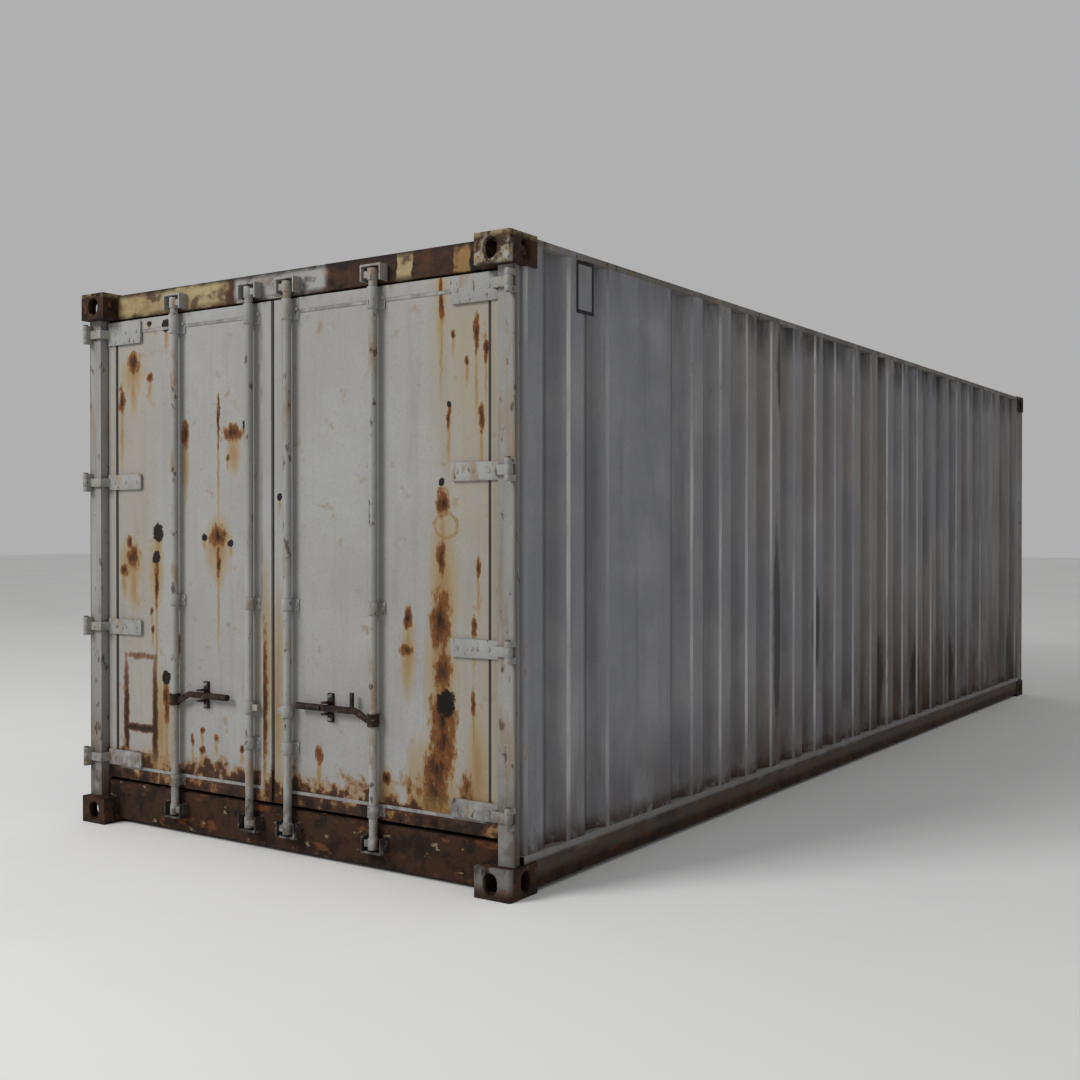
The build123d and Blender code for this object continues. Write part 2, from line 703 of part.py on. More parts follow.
def handle_stub(side, offset):
    """Make the broken hub that a missing handle left on an inner bar."""
    point = bar_point(side, offset)
    stub = block(
        (point[0] - HANDLE_SHANK / 2, point[1], HUB_RISE - HANDLE_SHANK_HEIGHT / 2),
        (point[0] + HANDLE_SHANK / 2, point[1] - side * STUB_REACH, HUB_RISE + HANDLE_SHANK_HEIGHT / 2))
    return bored_for_bar(side, offset, handle_hub(side, offset) + stub)


def handle(side, reach, tab):
    """Make a handle: a hub on the outer bar, a cranked shank, a round grip, and a tab where it has one."""
    point = bar_point(side, OUTER_BAR_OFFSET)
    half = HANDLE_SHANK_HEIGHT / 2
    bends = ((0.0, HUB_RISE), (HANDLE_BEND_START, HUB_RISE),
             (HANDLE_BEND_END, HANDLE_RISE), (reach, HANDLE_RISE))
    outline = [(run, height - half) for run, height in bends]
    outline += [(run, height + half) for run, height in reversed(bends)]
    across = Plane(origin=(point[0] - HANDLE_SHANK / 2, point[1], 0.0),
                   x_dir=(0, -side, 0), z_dir=(-side, 0, 0))
    shank = extrude(across * make_face(Polyline(*outline, close=True)), amount=HANDLE_SHANK, dir=(1, 0, 0))
    shape = shank + handle_hub(side, OUTER_BAR_OFFSET)
    grip_middle = point[1] - side * (reach - HANDLE_GRIP_LENGTH / 2)
    grip = Rot(90, 0, 0) * Cylinder(HANDLE_GRIP_RADIUS, HANDLE_GRIP_LENGTH)
    shape += Pos(point[0], grip_middle, HANDLE_RISE) * grip
    if tab:
        near = point[1] - side * (HANDLE_TAB_REACH - HANDLE_TAB_WIDTH / 2)
        shape += block((point[0] - HANDLE_SHANK / 2, near, HANDLE_RISE),
                       (point[0] + HANDLE_SHANK / 2, near - side * HANDLE_TAB_WIDTH,
                        HANDLE_RISE + HANDLE_TAB_HEIGHT))
    return bored_for_bar(side, OUTER_BAR_OFFSET, shape)


def handle_catch(side, reach):
    """Make the open catch on a leaf: an upright plate with a prong above and below the shank."""
    middle = reach - HANDLE_GRIP_LENGTH - CATCH_TO_GRIP
    depth = bar_side_depth(side, OUTER_BAR_OFFSET) + middle
    span = (depth - CATCH_WIDTH / 2, depth + CATCH_WIDTH / 2)
    inner = HANDLE_SHANK_HEIGHT / 2 + CATCH_PLAY
    catch = corner_block(DOOR, side, (LEAF_FACE_DEPTH - CATCH_PLATE, PANEL_FACE_DEPTH), span,
                         (HANDLE_RISE - CATCH_HEIGHT / 2, HANDLE_RISE + CATCH_HEIGHT / 2))
    for direction in (-1, 1):
        catch += corner_block(
            DOOR, side, (LEAF_FACE_DEPTH - CATCH_DEPTH, PANEL_FACE_DEPTH), span,
            (HANDLE_RISE + direction * inner, HANDLE_RISE + direction * (inner + CATCH_PRONG)))
    return catch


def bar_guide(side, offset, foot, top):
    """Make one guide: a base on the leaf, a neck and an eye round the bar."""
    point = bar_point(side, offset)
    depth = bar_side_depth(side, offset)
    guide = corner_block(DOOR, side, (PANEL_FACE_DEPTH - GUIDE_BASE, PANEL_FACE_DEPTH),
                         (depth - GUIDE_BASE_WIDTH / 2, depth + GUIDE_BASE_WIDTH / 2), (foot, top))
    guide += corner_block(DOOR, side, (BAR_END_DEPTH, PANEL_FACE_DEPTH),
                          (depth - GUIDE_NECK / 2, depth + GUIDE_NECK / 2), (foot, top))
    guide += upright_cylinder(point, GUIDE_RADIUS, foot, top)
    return guide - upright_cylinder(point, BAR_RADIUS + BAR_RUNNING_CLEARANCE, foot, top)


def bar_guides(side):
    """Make a leaf's guides, three on each bar, stepped where they lie over the edge channel."""
    edge = leaf_channel(side)
    guide_top = LEAF_TOP - TOP_GUIDE_INSET
    guides = []
    for offset, low in ((OUTER_BAR_OFFSET, LEAF_FOOT + OUTER_GUIDE_INSET),
                        (INNER_BAR_OFFSET, INNER_GUIDE_RISE)):
        for foot in (low, MIDDLE_GUIDE_RISE):
            guides.append(bar_guide(side, offset, foot, foot + GUIDE_HEIGHT) - edge)
        guides.append(bar_guide(side, offset, guide_top - TOP_GUIDE_HEIGHT, guide_top) - edge)
    return Compound(guides)


def keeper(side, offset, bridge_height, direction):
    """Make one keeper: a bridge past the bar's end and two cheeks beside its cam."""
    depth = bar_side_depth(side, offset)
    outer = KEEPER_HALF_OPENING + KEEPER_PLATE
    front = LEAF_FACE_DEPTH - KEEPER_DEPTH
    shape = corner_block(DOOR, side, (front, LEAF_FACE_DEPTH), (depth - outer, depth + outer),
                         (bridge_height, bridge_height + direction * KEEPER_PLATE))
    for turn in (-1, 1):
        shape += corner_block(
            DOOR, side, (front, LEAF_FACE_DEPTH),
            (depth + turn * KEEPER_HALF_OPENING, depth + turn * outer),
            (bridge_height - direction * KEEPER_CHEEK, bridge_height + direction * KEEPER_PLATE))
    return shape


def bar_keepers():
    """Make the keepers on the header and on the sill."""
    keepers = []
    for side in (RIGHT, LEFT):
        for offset in (OUTER_BAR_OFFSET, INNER_BAR_OFFSET):
            keepers.append(keeper(side, offset, BAR_TOP + KEEPER_END_GAP, 1))
            keepers.append(keeper(side, offset, BAR_FOOT_HEIGHT - KEEPER_END_GAP, -1))
    return Compound(keepers)


def pair(make, *arguments):
    """Put the right-hand and left-hand copies of a piece in one compound."""
    return Compound([make(*arguments[:1], side, *arguments[1:]) for side in (RIGHT, LEFT)])


def build():
    """Make every piece, by node name."""
    nodes = {
        "door_bottom_castings": pair(corner_casting, DOOR, False),
        "door_top_castings": pair(corner_casting, DOOR, True),
        "front_bottom_castings": pair(corner_casting, FRONT, False),
        "front_top_castings": pair(corner_casting, FRONT, True),
        "door_header": door_header(),
        "door_sill": door_sill(),
        "front_top_rail": front_top_rail(),
        "front_bottom_rail": front_bottom_rail(),
        "front_wall": front_wall(),
        "roof_sheet": roof_sheet(),
        "roof_end_plates": roof_end_plates(),
        "floor_sheets": floor_sheets(),
        "cross_members": cross_members(),
        "hinge_lugs": hinge_lugs(),
        "hinge_pins": hinge_pins(),
        "bar_keepers": bar_keepers(),
    }
    for name, side, reach in (("right", RIGHT, RIGHT_HANDLE_REACH), ("left", LEFT, LEFT_HANDLE_REACH)):
        nodes[name + "_door_post"] = door_post(side)
        nodes[name + "_front_post"] = front_post(side)
        nodes[name + "_bottom_rail"] = bottom_side_rail(side)
        nodes[name + "_top_rail"] = top_side_rail(side)
        nodes[name + "_side_wall"] = side_wall(side)
        nodes[name + "_leaf_channel"] = leaf_channel(side)
        nodes[name + "_leaf_panel"] = leaf_panel(side)
        nodes[name + "_leaf_gasket"] = leaf_gasket(side)
        nodes[name + "_hinge_blades"] = hinge_blades(side)
        nodes[name + "_bar_guides"] = bar_guides(side)
        nodes[name + "_outer_bar"] = locking_bar(side, OUTER_BAR_OFFSET)
        nodes[name + "_inner_bar"] = locking_bar(side, INNER_BAR_OFFSET)
        nodes[name + "_handle"] = handle(side, reach, side == RIGHT)
        nodes[name + "_handle_stub"] = handle_stub(side, INNER_BAR_OFFSET)
        nodes[name + "_handle_catch"] = handle_catch(side, reach)
    return nodes


os.makedirs("parts", exist_ok=True)
for node, shape in build().items():
    export_step(shape, "parts/" + node + ".step")
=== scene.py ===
"""Looks for a weathered steel shipping container, built around its CAD frame."""

import json
import math
from collections import namedtuple

import bmesh
import bpy
from bpy.props import FloatProperty, FloatVectorProperty, IntProperty, PointerProperty
from mathutils import Matrix, Vector


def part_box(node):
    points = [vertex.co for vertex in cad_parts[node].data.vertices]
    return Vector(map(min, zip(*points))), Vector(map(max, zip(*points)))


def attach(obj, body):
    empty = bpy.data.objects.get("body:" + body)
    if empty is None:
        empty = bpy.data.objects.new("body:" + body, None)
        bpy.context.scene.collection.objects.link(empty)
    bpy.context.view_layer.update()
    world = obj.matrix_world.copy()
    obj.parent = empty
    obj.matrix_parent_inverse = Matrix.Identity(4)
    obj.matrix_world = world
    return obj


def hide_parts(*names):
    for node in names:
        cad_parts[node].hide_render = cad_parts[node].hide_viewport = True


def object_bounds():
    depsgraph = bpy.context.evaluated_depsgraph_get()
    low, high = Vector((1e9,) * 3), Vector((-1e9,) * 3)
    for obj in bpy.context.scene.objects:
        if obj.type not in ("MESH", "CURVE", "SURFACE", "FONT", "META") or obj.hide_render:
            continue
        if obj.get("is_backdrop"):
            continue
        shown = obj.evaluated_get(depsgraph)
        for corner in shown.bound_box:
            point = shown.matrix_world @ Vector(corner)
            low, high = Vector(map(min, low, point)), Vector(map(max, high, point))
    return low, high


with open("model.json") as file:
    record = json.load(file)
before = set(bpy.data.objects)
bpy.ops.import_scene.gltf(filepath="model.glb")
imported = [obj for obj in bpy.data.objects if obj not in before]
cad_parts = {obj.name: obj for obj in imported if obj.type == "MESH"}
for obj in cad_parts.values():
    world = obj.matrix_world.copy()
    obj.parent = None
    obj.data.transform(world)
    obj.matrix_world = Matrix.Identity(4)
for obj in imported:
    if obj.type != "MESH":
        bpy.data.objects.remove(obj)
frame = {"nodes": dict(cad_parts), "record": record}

bl_info = {
    "name": "Shipping container looks",
    "version": (1, 0, 0),
    "blender": (4, 5, 0),
    "location": "3D View > Sidebar > Container",
    "description": "Paint, rust, rounded edges and fixings for a steel shipping container",
    "category": "Object",
}

MM = 0.001
DULL_SHINE = 0.2
BODY_OF = {node: body for body, nodes in frame["record"]["behaviour"]["bodies"].items() for node in nodes}
SIDES = {"right": -1, "left": 1}

# Marks on the leaves: place across and rise of the centre, half width and half height, all in millimetres
Mark = namedtuple("Mark", "across rise half_width half_height")


def mark_table(*rows):
    """Marks from rows of their four measures."""
    return tuple(Mark(*row) for row in rows)


def pair(*names):
    """The right and the left node of each name."""
    return tuple(side + "_" + name for name in names for side in SIDES)


RIGHT_HOLES = mark_table(
    (-857, 690, 56, 68), (-838, 1533, 18, 22), (-872, 1831, 14, 17), (20, 1490, 19, 22),
)
RIGHT_RUST = mark_table(
    (-842, 630, 90, 170), (-846, 540, 78, 180), (-815, 440, 92, 120), (-800, 320, 110, 190),
    (-842, 815, 62, 130), (-832, 1000, 76, 170), (-843, 1454, 44, 80), (-835, 1240, 34, 90),
    (-1004, 2083, 18, 110), (-1048, 2027, 14, 70), (-959, 1985, 16, 28), (-894, 2092, 14, 28),
    (-872, 1780, 16, 64), (-1027, 1770, 20, 74), (-836, 2230, 16, 130), (-672, 1007, 30, 62),
    (-662, 880, 50, 34), (-563, 372, 28, 34), (-675, 351, 20, 50), (-958, 346, 44, 124),
    (-1013, 1208, 17, 60), (-992, 985, 18, 60), (-989, 702, 16, 80), (-201, 431, 26, 60),
    (-90, 300, 18, 60),
)
RIGHT_STAINS = mark_table(
    (-848, 1150, 90, 380), (-838, 780, 110, 420), (-836, 2198, 30, 240), (-790, 360, 170, 300),
    (-1010, 420, 70, 320), (-560, 300, 70, 150), (30, 640, 46, 620), (-672, 860, 50, 240),
)
RIGHT_RINGS = mark_table((-857, 1366, 66, 58))
LEFT_HOLES = mark_table(
    (787, 1337, 44, 52), (798, 1228, 36, 40), (730, 2268, 30, 36), (920, 2282, 26, 15), (840, 2284, 24, 14),
    (225, 1800, 27, 27), (480, 1318, 24, 20), (318, 1292, 24, 20), (734, 688, 34, 38), (212, 1396, 13, 30),
)
LEFT_RUST = mark_table(
    (955, 2112, 56, 74), (842, 2045, 28, 34), (1035, 1948, 30, 100), (605, 1765, 34, 92),
    (394, 1830, 14, 170), (300, 1768, 84, 56), (335, 1664, 18, 22), (985, 1300, 24, 56),
    (955, 1225, 66, 76), (1020, 1168, 44, 40), (798, 1110, 20, 160), (394, 1325, 74, 72),
    (394, 1215, 17, 120), (830, 981, 18, 26), (824, 902, 18, 28), (734, 580, 32, 160), (655, 827, 22, 100),
    (500, 384, 36, 30), (500, 470, 22, 22), (410, 442, 26, 26), (250, 412, 22, 22), (560, 420, 16, 40),
    (108, 640, 24, 460),
)
LEFT_STAINS = mark_table(
    (770, 470, 90, 330), (605, 1640, 40, 160), (112, 760, 60, 640), (955, 2060, 110, 130),
    (394, 1280, 110, 180), (798, 1150, 66, 220), (970, 1200, 120, 150),
)
# Rust lines left where stacked placards were taken off the left leaf
LEFT_PLACARDS = mark_table((908, 612, 99, 165), (908, 382, 99, 66), (908, 268, 92, 50))
# The marks of each leaf, and the share of the yellow wash down its hinge side
LeafMarks = namedtuple("LeafMarks", "holes rust stains placards rings wash")
LEAVES = {
    "right": LeafMarks(RIGHT_HOLES, RIGHT_RUST, RIGHT_STAINS, placards=(), rings=RIGHT_RINGS, wash=0.5),
    "left": LeafMarks(LEFT_HOLES, LEFT_RUST, LEFT_STAINS, placards=LEFT_PLACARDS, rings=(), wash=0.25),
}
# Dark runs and blotches on the right side wall, measured along from the door end
WALL_GRIME = mark_table(
    (2375, 870, 74, 820), (2420, 2180, 80, 420), (2905, 820, 70, 320), (3960, 420, 80, 460),
    (4600, 380, 90, 420), (5400, 400, 80, 460), (6900, 350, 140, 520),
)
# Patches along the header: place across, half width, colour name
HeaderPatch = namedtuple("HeaderPatch", "across half_width colour")
HEADER_PATCHES = (
    HeaderPatch(690, 390, "old_cream"),
    HeaderPatch(20, 285, "door_paint"),
    HeaderPatch(-315, 50, "rust_black"),
    HeaderPatch(-660, 42, "old_cream"),
    HeaderPatch(-938, 40, "rust_pale"),
    HeaderPatch(-1020, 42, "rust_black"),
)


def linear(code):
    """Turn an sRGB hex colour into linear red, green, blue and full opacity."""
    channels = [int(code[place:place + 2], 16) / 255 for place in (1, 3, 5)]
    return tuple(c / 12.92 if c <= 0.04045 else ((c + 0.055) / 1.055) ** 2.4 for c in channels) + (1.0,)


def colour_property(name, description, code):
    """A colour setting whose default is an sRGB hex colour."""
    return FloatVectorProperty(
        name=name, description=description, default=linear(code), size=4, subtype="COLOR", min=0.0, max=1.0
    )


def length_property(name, description, millimetres):
    """A length setting whose default is given in millimetres."""
    return FloatProperty(
        name=name, description=description, default=millimetres * MM, min=0.0, unit="LENGTH", precision=4
    )


def count_property(name, description, count):
    """A whole number setting."""
    return IntProperty(name=name, description=description, default=count, min=1)


class ContainerColours(bpy.types.PropertyGroup):
    """Colours of the paint, the rust and the other materials."""

    door_paint: colour_property("Door paint", "Greyish white of the door leaves", "#93928F")
    # Painted shade: the wall paint is a darker, cooler copy of the door paint, for walls turned away from the
    # key light
    wall_paint: colour_property("Wall paint", "Cooler greyish white of the corrugated walls", "#84858B")
    chalky_paint: colour_property("Chalky paint", "Bleached paint in clouds on the sheet", "#A2A2A1")
    # Painted highlight: the light line down the lit bends of the wall
    bend_paint: colour_property("Bend paint", "Bleached line down the bends of the wall", "#C0BFBA")
    bar_paint: colour_property("Bar paint", "Greyish white of the locking gear", "#8E8E8A")
    old_cream: colour_property("Old cream", "Yellowed older paint on the header and castings", "#9A8B66")
    stain_yellow: colour_property("Yellow stain", "Faded yellow wash down the hinge side", "#938262")
    rust_pale: colour_property("Pale rust", "Run-off stain on the paint", "#86683F")
    rust_orange: colour_property("Orange rust", "Fresh rust where the paint has broken", "#663B1D")
    rust_brown: colour_property("Brown rust", "Old rust on the sill, rails and castings", "#3A2518")
    rust_black: colour_property("Black rust", "Deepest rust and holes in the paint", "#15100D")
    grime: colour_property("Grime", "Dirt washed down by rain", "#3E3D38")
    black_line: colour_property("Black line", "Painted outline of the empty placard frame", "#15181B")
    rubber: colour_property("Rubber", "Door seal", "#191A1B")
    plywood: colour_property("Plywood", "Floor boards", "#7C5C3B")
    plywood_dark: colour_property("Dark plywood", "Grain and wheel marks of the floor", "#4B3623")
    primer: colour_property("Primer", "Dark coating of the underframe", "#2C2724")
    steel: colour_property("Steel", "Bare worn steel of pins and keepers", "#6E675F")
    floor: colour_property("Studio floor", "Plain pale ground of the picture", "#F0F0EF")
    backdrop: colour_property("Backdrop", "Plain pale background of the picture", "#B0B0B1")


class ContainerSizes(bpy.types.PropertyGroup):
    """Sizes of the rounded edges, fixings and beads."""

    wall_sheet: length_property("Wall sheet", "Thickness of the corrugated wall sheet", 2)
    bend_width: length_property("Bend width", "Width of the rounded bend of the corrugation", 11)
    casting_edge: length_property("Casting edge", "Rounded edge of a corner casting", 5)
    frame_edge: length_property("Frame edge", "Rounded edge of posts, rails and header", 1.8)
    gear_edge: length_property("Gear edge", "Rounded edge of hinges, guides and handles", 1.5)
    edge_segments: count_property("Edge segments", "Faces across a rounded edge", 2)
    bend_segments: count_property("Bend segments", "Faces across a wall bend", 3)
    bolt_across: length_property("Bolt size", "Size across the corners of a bolt head", 15)
    bolt_height: length_property("Bolt height", "Height of a bolt head", 5)
    washer_across: length_property("Washer size", "Outer diameter of a washer", 18)
    washer_height: length_property("Washer height", "Thickness of a washer", 2)
    rivet_across: length_property("Rivet size", "Diameter of a rivet head", 16)
    rivet_height: length_property("Rivet height", "Height of a rivet head", 3)
    bead_width: length_property("Bead width", "Width of the sealant bead round a leaf panel", 13)
    bead_height: length_property("Bead height", "Height of the sealant bead", 3)
    placard_thick: length_property("Placard thickness", "Thickness of the empty placard frame", 2)
    placard_line: length_property("Placard line", "Width of the black outline", 15)
    floor_half: length_property("Floor reach", "Half size of the studio floor", 60000)


def colours():
    """The colour settings of this scene."""
    return bpy.context.scene.container_colours


def sizes():
    """The size settings of this scene."""
    return bpy.context.scene.container_sizes


def add_node(tree, kind, inputs=None, **settings):
    """Add a node, set its settings, and set or link its inputs."""
    node = tree.nodes.new(kind)
    for name, value in settings.items():
        setattr(node, name, value)
    for key, value in (inputs or {}).items():
        if isinstance(value, bpy.types.NodeSocket):
            tree.links.new(value, node.inputs[key])
        else:
            node.inputs[key].default_value = value
    return node


# Noise settings: detail and roughness of clouds, of wandering edges and of ragged marks, and the middle value
CLOUD_NOISE = (5.0, 0.6)
WANDER_NOISE = (6.0, 0.65)
RAGGED_NOISE = (7.0, 0.68)
MID_NOISE = (0.5, 0.5, 0.5)
# Rim of a soft spot that fades the noise out
SPOT_RIM = 0.2
EVEN = (1, 1, 1)
# A cloud: patches of about grain millimetres, rising from low to high of the noise, stretched per axis
Cloud = namedtuple("Cloud", "grain low high stretch", defaults=(EVEN,))
# A fade: nothing at start, all at end, in millimetres along x, y, z or away from the middle plane
Fade = namedtuple("Fade", "axis start end")
# A step of a ragged field: its colour shows from low to high, up to its share
Step = namedtuple("Step", "colour low high share")


class Layer:
    """A colour to lay, its greatest share, and the clouds, fades or masks that all have to show it."""

    def __init__(self, colour, share, *parts):
        """Keep the colour's name, the share and the parts."""
        self.colour = colour
        self.share = share
        self.parts = parts


class Finish:
    """A procedural finish, built up in layers of colour over a base."""

    def __init__(self, name, base, roughness, metallic=0.0):
        """Start a material with the name of a base colour and a roughness."""
        self.material = bpy.data.materials.new(name)
        self.material.use_nodes = True
        self.tree = self.material.node_tree
        self.tree.nodes.clear()
        self.place = add_node(self.tree, "ShaderNodeTexCoord").outputs["Object"]
        axes = add_node(self.tree, "ShaderNodeSeparateXYZ", {0: self.place})
        self.axis = {"x": axes.outputs[0], "y": axes.outputs[1], "z": axes.outputs[2]}
        self.axis["away"] = self.gap(self.axis["y"], 0.0)
        self.colour = tuple(getattr(colours(), base))
        self.roughness = roughness
        self.metallic = metallic
        self.height = None
        self.wander = None

    def both(self, first, second):
        """Mask where both masks show, or a mask's share."""
        return add_node(self.tree, "ShaderNodeMath", {0: first, 1: second}, operation="MULTIPLY").outputs[0]

    def either(self, first, second):
        """Mask where either mask shows."""
        return add_node(self.tree, "ShaderNodeMath", {0: first, 1: second}, operation="MAXIMUM").outputs[0]

    def together(self, first, second):
        """Two fields added up."""
        return add_node(self.tree, "ShaderNodeMath", {0: first, 1: second}, operation="ADD").outputs[0]

    def outside(self, mask):
        """Mask where the mask does not show."""
        return add_node(self.tree, "ShaderNodeMath", {0: 1.0, 1: mask}, operation="SUBTRACT").outputs[0]

    def gap(self, value, place):
        """Distance of a value from a place, in metres."""
        apart = add_node(self.tree, "ShaderNodeMath", {0: value, 1: place}, operation="SUBTRACT")
        return add_node(self.tree, "ShaderNodeMath", {0: apart.outputs[0]}, operation="ABSOLUTE").outputs[0]

    def ramp(self, value, low, high):
        """Smooth rise of a value from nothing at low to all at high."""
        settings = {"Value": value, "From Min": low, "From Max": high}
        rise = add_node(self.tree, "ShaderNodeMapRange", settings, interpolation_type="SMOOTHSTEP")
        return rise.outputs[0]

    def noise(self, grain, stretch, detail, roughness):
        """Noise of about grain millimetres, stretched per axis."""
        narrow = [1 / part for part in stretch]
        spread = add_node(self.tree, "ShaderNodeMapping", {"Vector": self.place, "Scale": narrow})
        scale = 1 / (grain * MM)
        settings = {"Vector": spread.outputs[0], "Scale": scale, "Detail": detail, "Roughness": roughness}
        return add_node(self.tree, "ShaderNodeTexNoise", settings)

    def shown(self, *parts):
        """Mask where all the parts show: clouds, fades or masks made before."""
        total = None
        for part in parts:
            if isinstance(part, Cloud):
                noise = self.noise(part.grain, part.stretch, *CLOUD_NOISE)
                part = self.ramp(noise.outputs["Fac"], part.low, part.high)
            elif isinstance(part, Fade):
                low, high = sorted((part.start * MM, part.end * MM))
                rise = self.ramp(self.axis[part.axis], low, high)
                part = rise if part.start < part.end else self.outside(rise)
            total = part if total is None else self.both(total, part)
        return total

    def wandering(self, grain, reach):
        """Object place pushed about by noise, so that the edges of marks run ragged; both in millimetres."""
        noise = self.noise(grain, EVEN, *WANDER_NOISE).outputs["Color"]
        across = 2 * reach * MM
        kind = "ShaderNodeVectorMath"
        centred = add_node(self.tree, kind, {0: noise, 1: MID_NOISE}, operation="SUBTRACT")
        push = add_node(self.tree, kind, {0: centred.outputs[0], "Scale": across}, operation="SCALE")
        moved = add_node(self.tree, kind, {0: self.place, 1: push.outputs[0]}, operation="ADD")
        self.wander = moved.outputs[0]

    def marks(self, marks, face, reach, along="y"):
        """Soft spots at marks on a face square to the other level axis; face and reach are in metres."""
        total = None
        door_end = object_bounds()[0].x
        for mark in marks:
            across, rise, half_width, half_height = (measure * MM for measure in mark)
            centre, radius = (face, across, rise), (reach, half_width, half_height)
            if along == "x":
                centre, radius = (door_end + across, face, rise), (half_width, reach, half_height)
            settings = {"Vector": self.wander, "Location": centre, "Scale": radius}
            local = add_node(self.tree, "ShaderNodeMapping", settings, vector_type="TEXTURE").outputs[0]
            spot = add_node(self.tree, "ShaderNodeTexGradient", {0: local}, gradient_type="SPHERICAL")
            shade = spot.outputs["Fac"]
            total = shade if total is None else self.either(total, shade)
        return total

    def ragged(self, field, grain, strength, stretch):
        """A field of soft spots broken up by noise, and kept near the spots."""
        noise = self.noise(grain, stretch, *RAGGED_NOISE)
        centred = self.together(noise.outputs["Fac"], -MID_NOISE[0])
        broken = self.together(field, self.both(centred, strength))
        return self.both(broken, self.ramp(field, 0.0, SPOT_RIM))

    def lay(self, colour, mask, share=1.0):
        """Lay the colour of that name over what is there, where the mask shows it."""
        if share < 1.0:
            mask = self.both(mask, share)
        over = tuple(getattr(colours(), colour))
        mix = add_node(self.tree, "ShaderNodeMix", {0: mask, 6: self.colour, 7: over}, data_type="RGBA")
        self.colour = mix.outputs[2]

    def layers(self, *layers):
        """Lay the colours one after the other."""
        for layer in layers:
            self.lay(layer.colour, self.shown(*layer.parts), layer.share)

    def steps(self, field, steps):
        """Lay the colours of the steps of a field, and give back the mask of each colour."""
        masks = {}
        for step in steps:
            masks[step.colour] = self.ramp(field, step.low, step.high)
            self.lay(step.colour, masks[step.colour], step.share)
        return masks

    def roughen(self, roughness, mask):
        """Change the roughness where the mask shows it."""
        mix = add_node(self.tree, "ShaderNodeMix", {0: mask, 2: self.roughness, 3: roughness})
        self.roughness = mix.outputs[0]

    def raise_by(self, depth, mask):
        """Raise, or with a negative depth sink, the surface by millimetres where the mask shows it."""
        step = self.both(mask, depth * MM)
        self.height = step if self.height is None else self.together(self.height, step)

    def done(self):
        """Join the layers to the shader."""
        settings = {"Base Color": self.colour, "Roughness": self.roughness, "Metallic": self.metallic}
        settings["Specular IOR Level"] = DULL_SHINE
        shader = add_node(self.tree, "ShaderNodeBsdfPrincipled", settings)
        if self.height is not None:
            relief = {"Height": self.height, "Strength": 1.0, "Distance": 1.0}
            bump = add_node(self.tree, "ShaderNodeBump", relief)
            self.tree.links.new(bump.outputs[0], shader.inputs["Normal"])
        add_node(self.tree, "ShaderNodeOutputMaterial", {"Surface": shader.outputs[0]})


# Steps of the ragged fields, from the faint rim to the deep middle
GRIME_STEPS = (Step("rust_black", 0.2, 0.6, 0.72),)
STAIN_STEPS = (Step("stain_yellow", 0.02, 0.5, 0.75), Step("rust_pale", 0.35, 0.95, 0.75))
SORE_STEPS = (
    Step("rust_pale", 0.08, 0.34, 0.8),
    Step("rust_orange", 0.26, 0.48, 0.9),
    Step("rust_brown", 0.52, 0.82, 0.85),
    Step("rust_black", 0.84, 1.1, 0.8),
)
PLACARD_STEPS = (
    Step("rust_orange", 0.12, 0.4, 0.85),
    Step("rust_brown", 0.36, 0.66, 0.9),
    Step("rust_black", 0.72, 1.0, 0.7),
)
CREEP_STEPS = (
    Step("rust_pale", 0.8, 1.1, 0.7),
    Step("rust_orange", 1.05, 1.25, 0.8),
    Step("rust_brown", 1.15, 1.35, 0.92),
    Step("rust_black", 1.4, 1.75, 0.8),
)
HOLE_STEPS = (Step("rust_brown", 0.1, 0.26, 0.9), Step("rust_black", 0.2, 0.36, 0.97))
# Where a ring's line and a header patch's rim rise, as low and high of a soft spot
RING_OUTER = (0.0, 0.12)
RING_INNER = (0.2, 0.36)
PATCH_RIM = (0.02, 0.14)
# Run-off below a mark, as shares of the mark's half height and half width
DRIP_DROP = 1.5
DRIP_WIDTH = 0.75
DRIP_LENGTH = 2.4
# How far marks reach into a face, and the half width of a placard's rust line, in metres
LEAF_REACH = 30 * MM
WALL_REACH = 300 * MM
HEADER_REACH = 2000 * MM
OUTLINE_REACH = 30 * MM
# Share of a placard's rust line that shows high up
FAINT_OUTLINE = 0.42
# Rise of the header's middle, and how far the wall's recesses lie in, in millimetres
HEADER_RISE = 2377
RECESS_LIP = 4
RECESS_DEPTH = 34
# Roughness of chalky paint, of stains and of rust
CHALK_ROUGH = 0.78
STAIN_ROUGH = 0.85
RUST_ROUGH = 0.9
# Painted shade: grime colour laid on the slopes of the wall that turn away from the door end and its key
# light
SLOPE_SHADE = (Layer("grime", 0.5, Cloud(150, 0.15, 0.55, (1, 1, 6))),)
# Where paint is kept on the end faces of the near castings
NEAR_END = (Fade("x", -3630, -3650), Fade("y", 200, -200))
NEAR_TOP = NEAR_END + (Fade("z", 2300, 2345), Cloud(70, 0.42, 0.58))
NEAR_FOOT = NEAR_END + (Fade("z", 150, 110), Fade("z", 14, 70), Cloud(55, 0.36, 0.52, (1, 1, 3)))

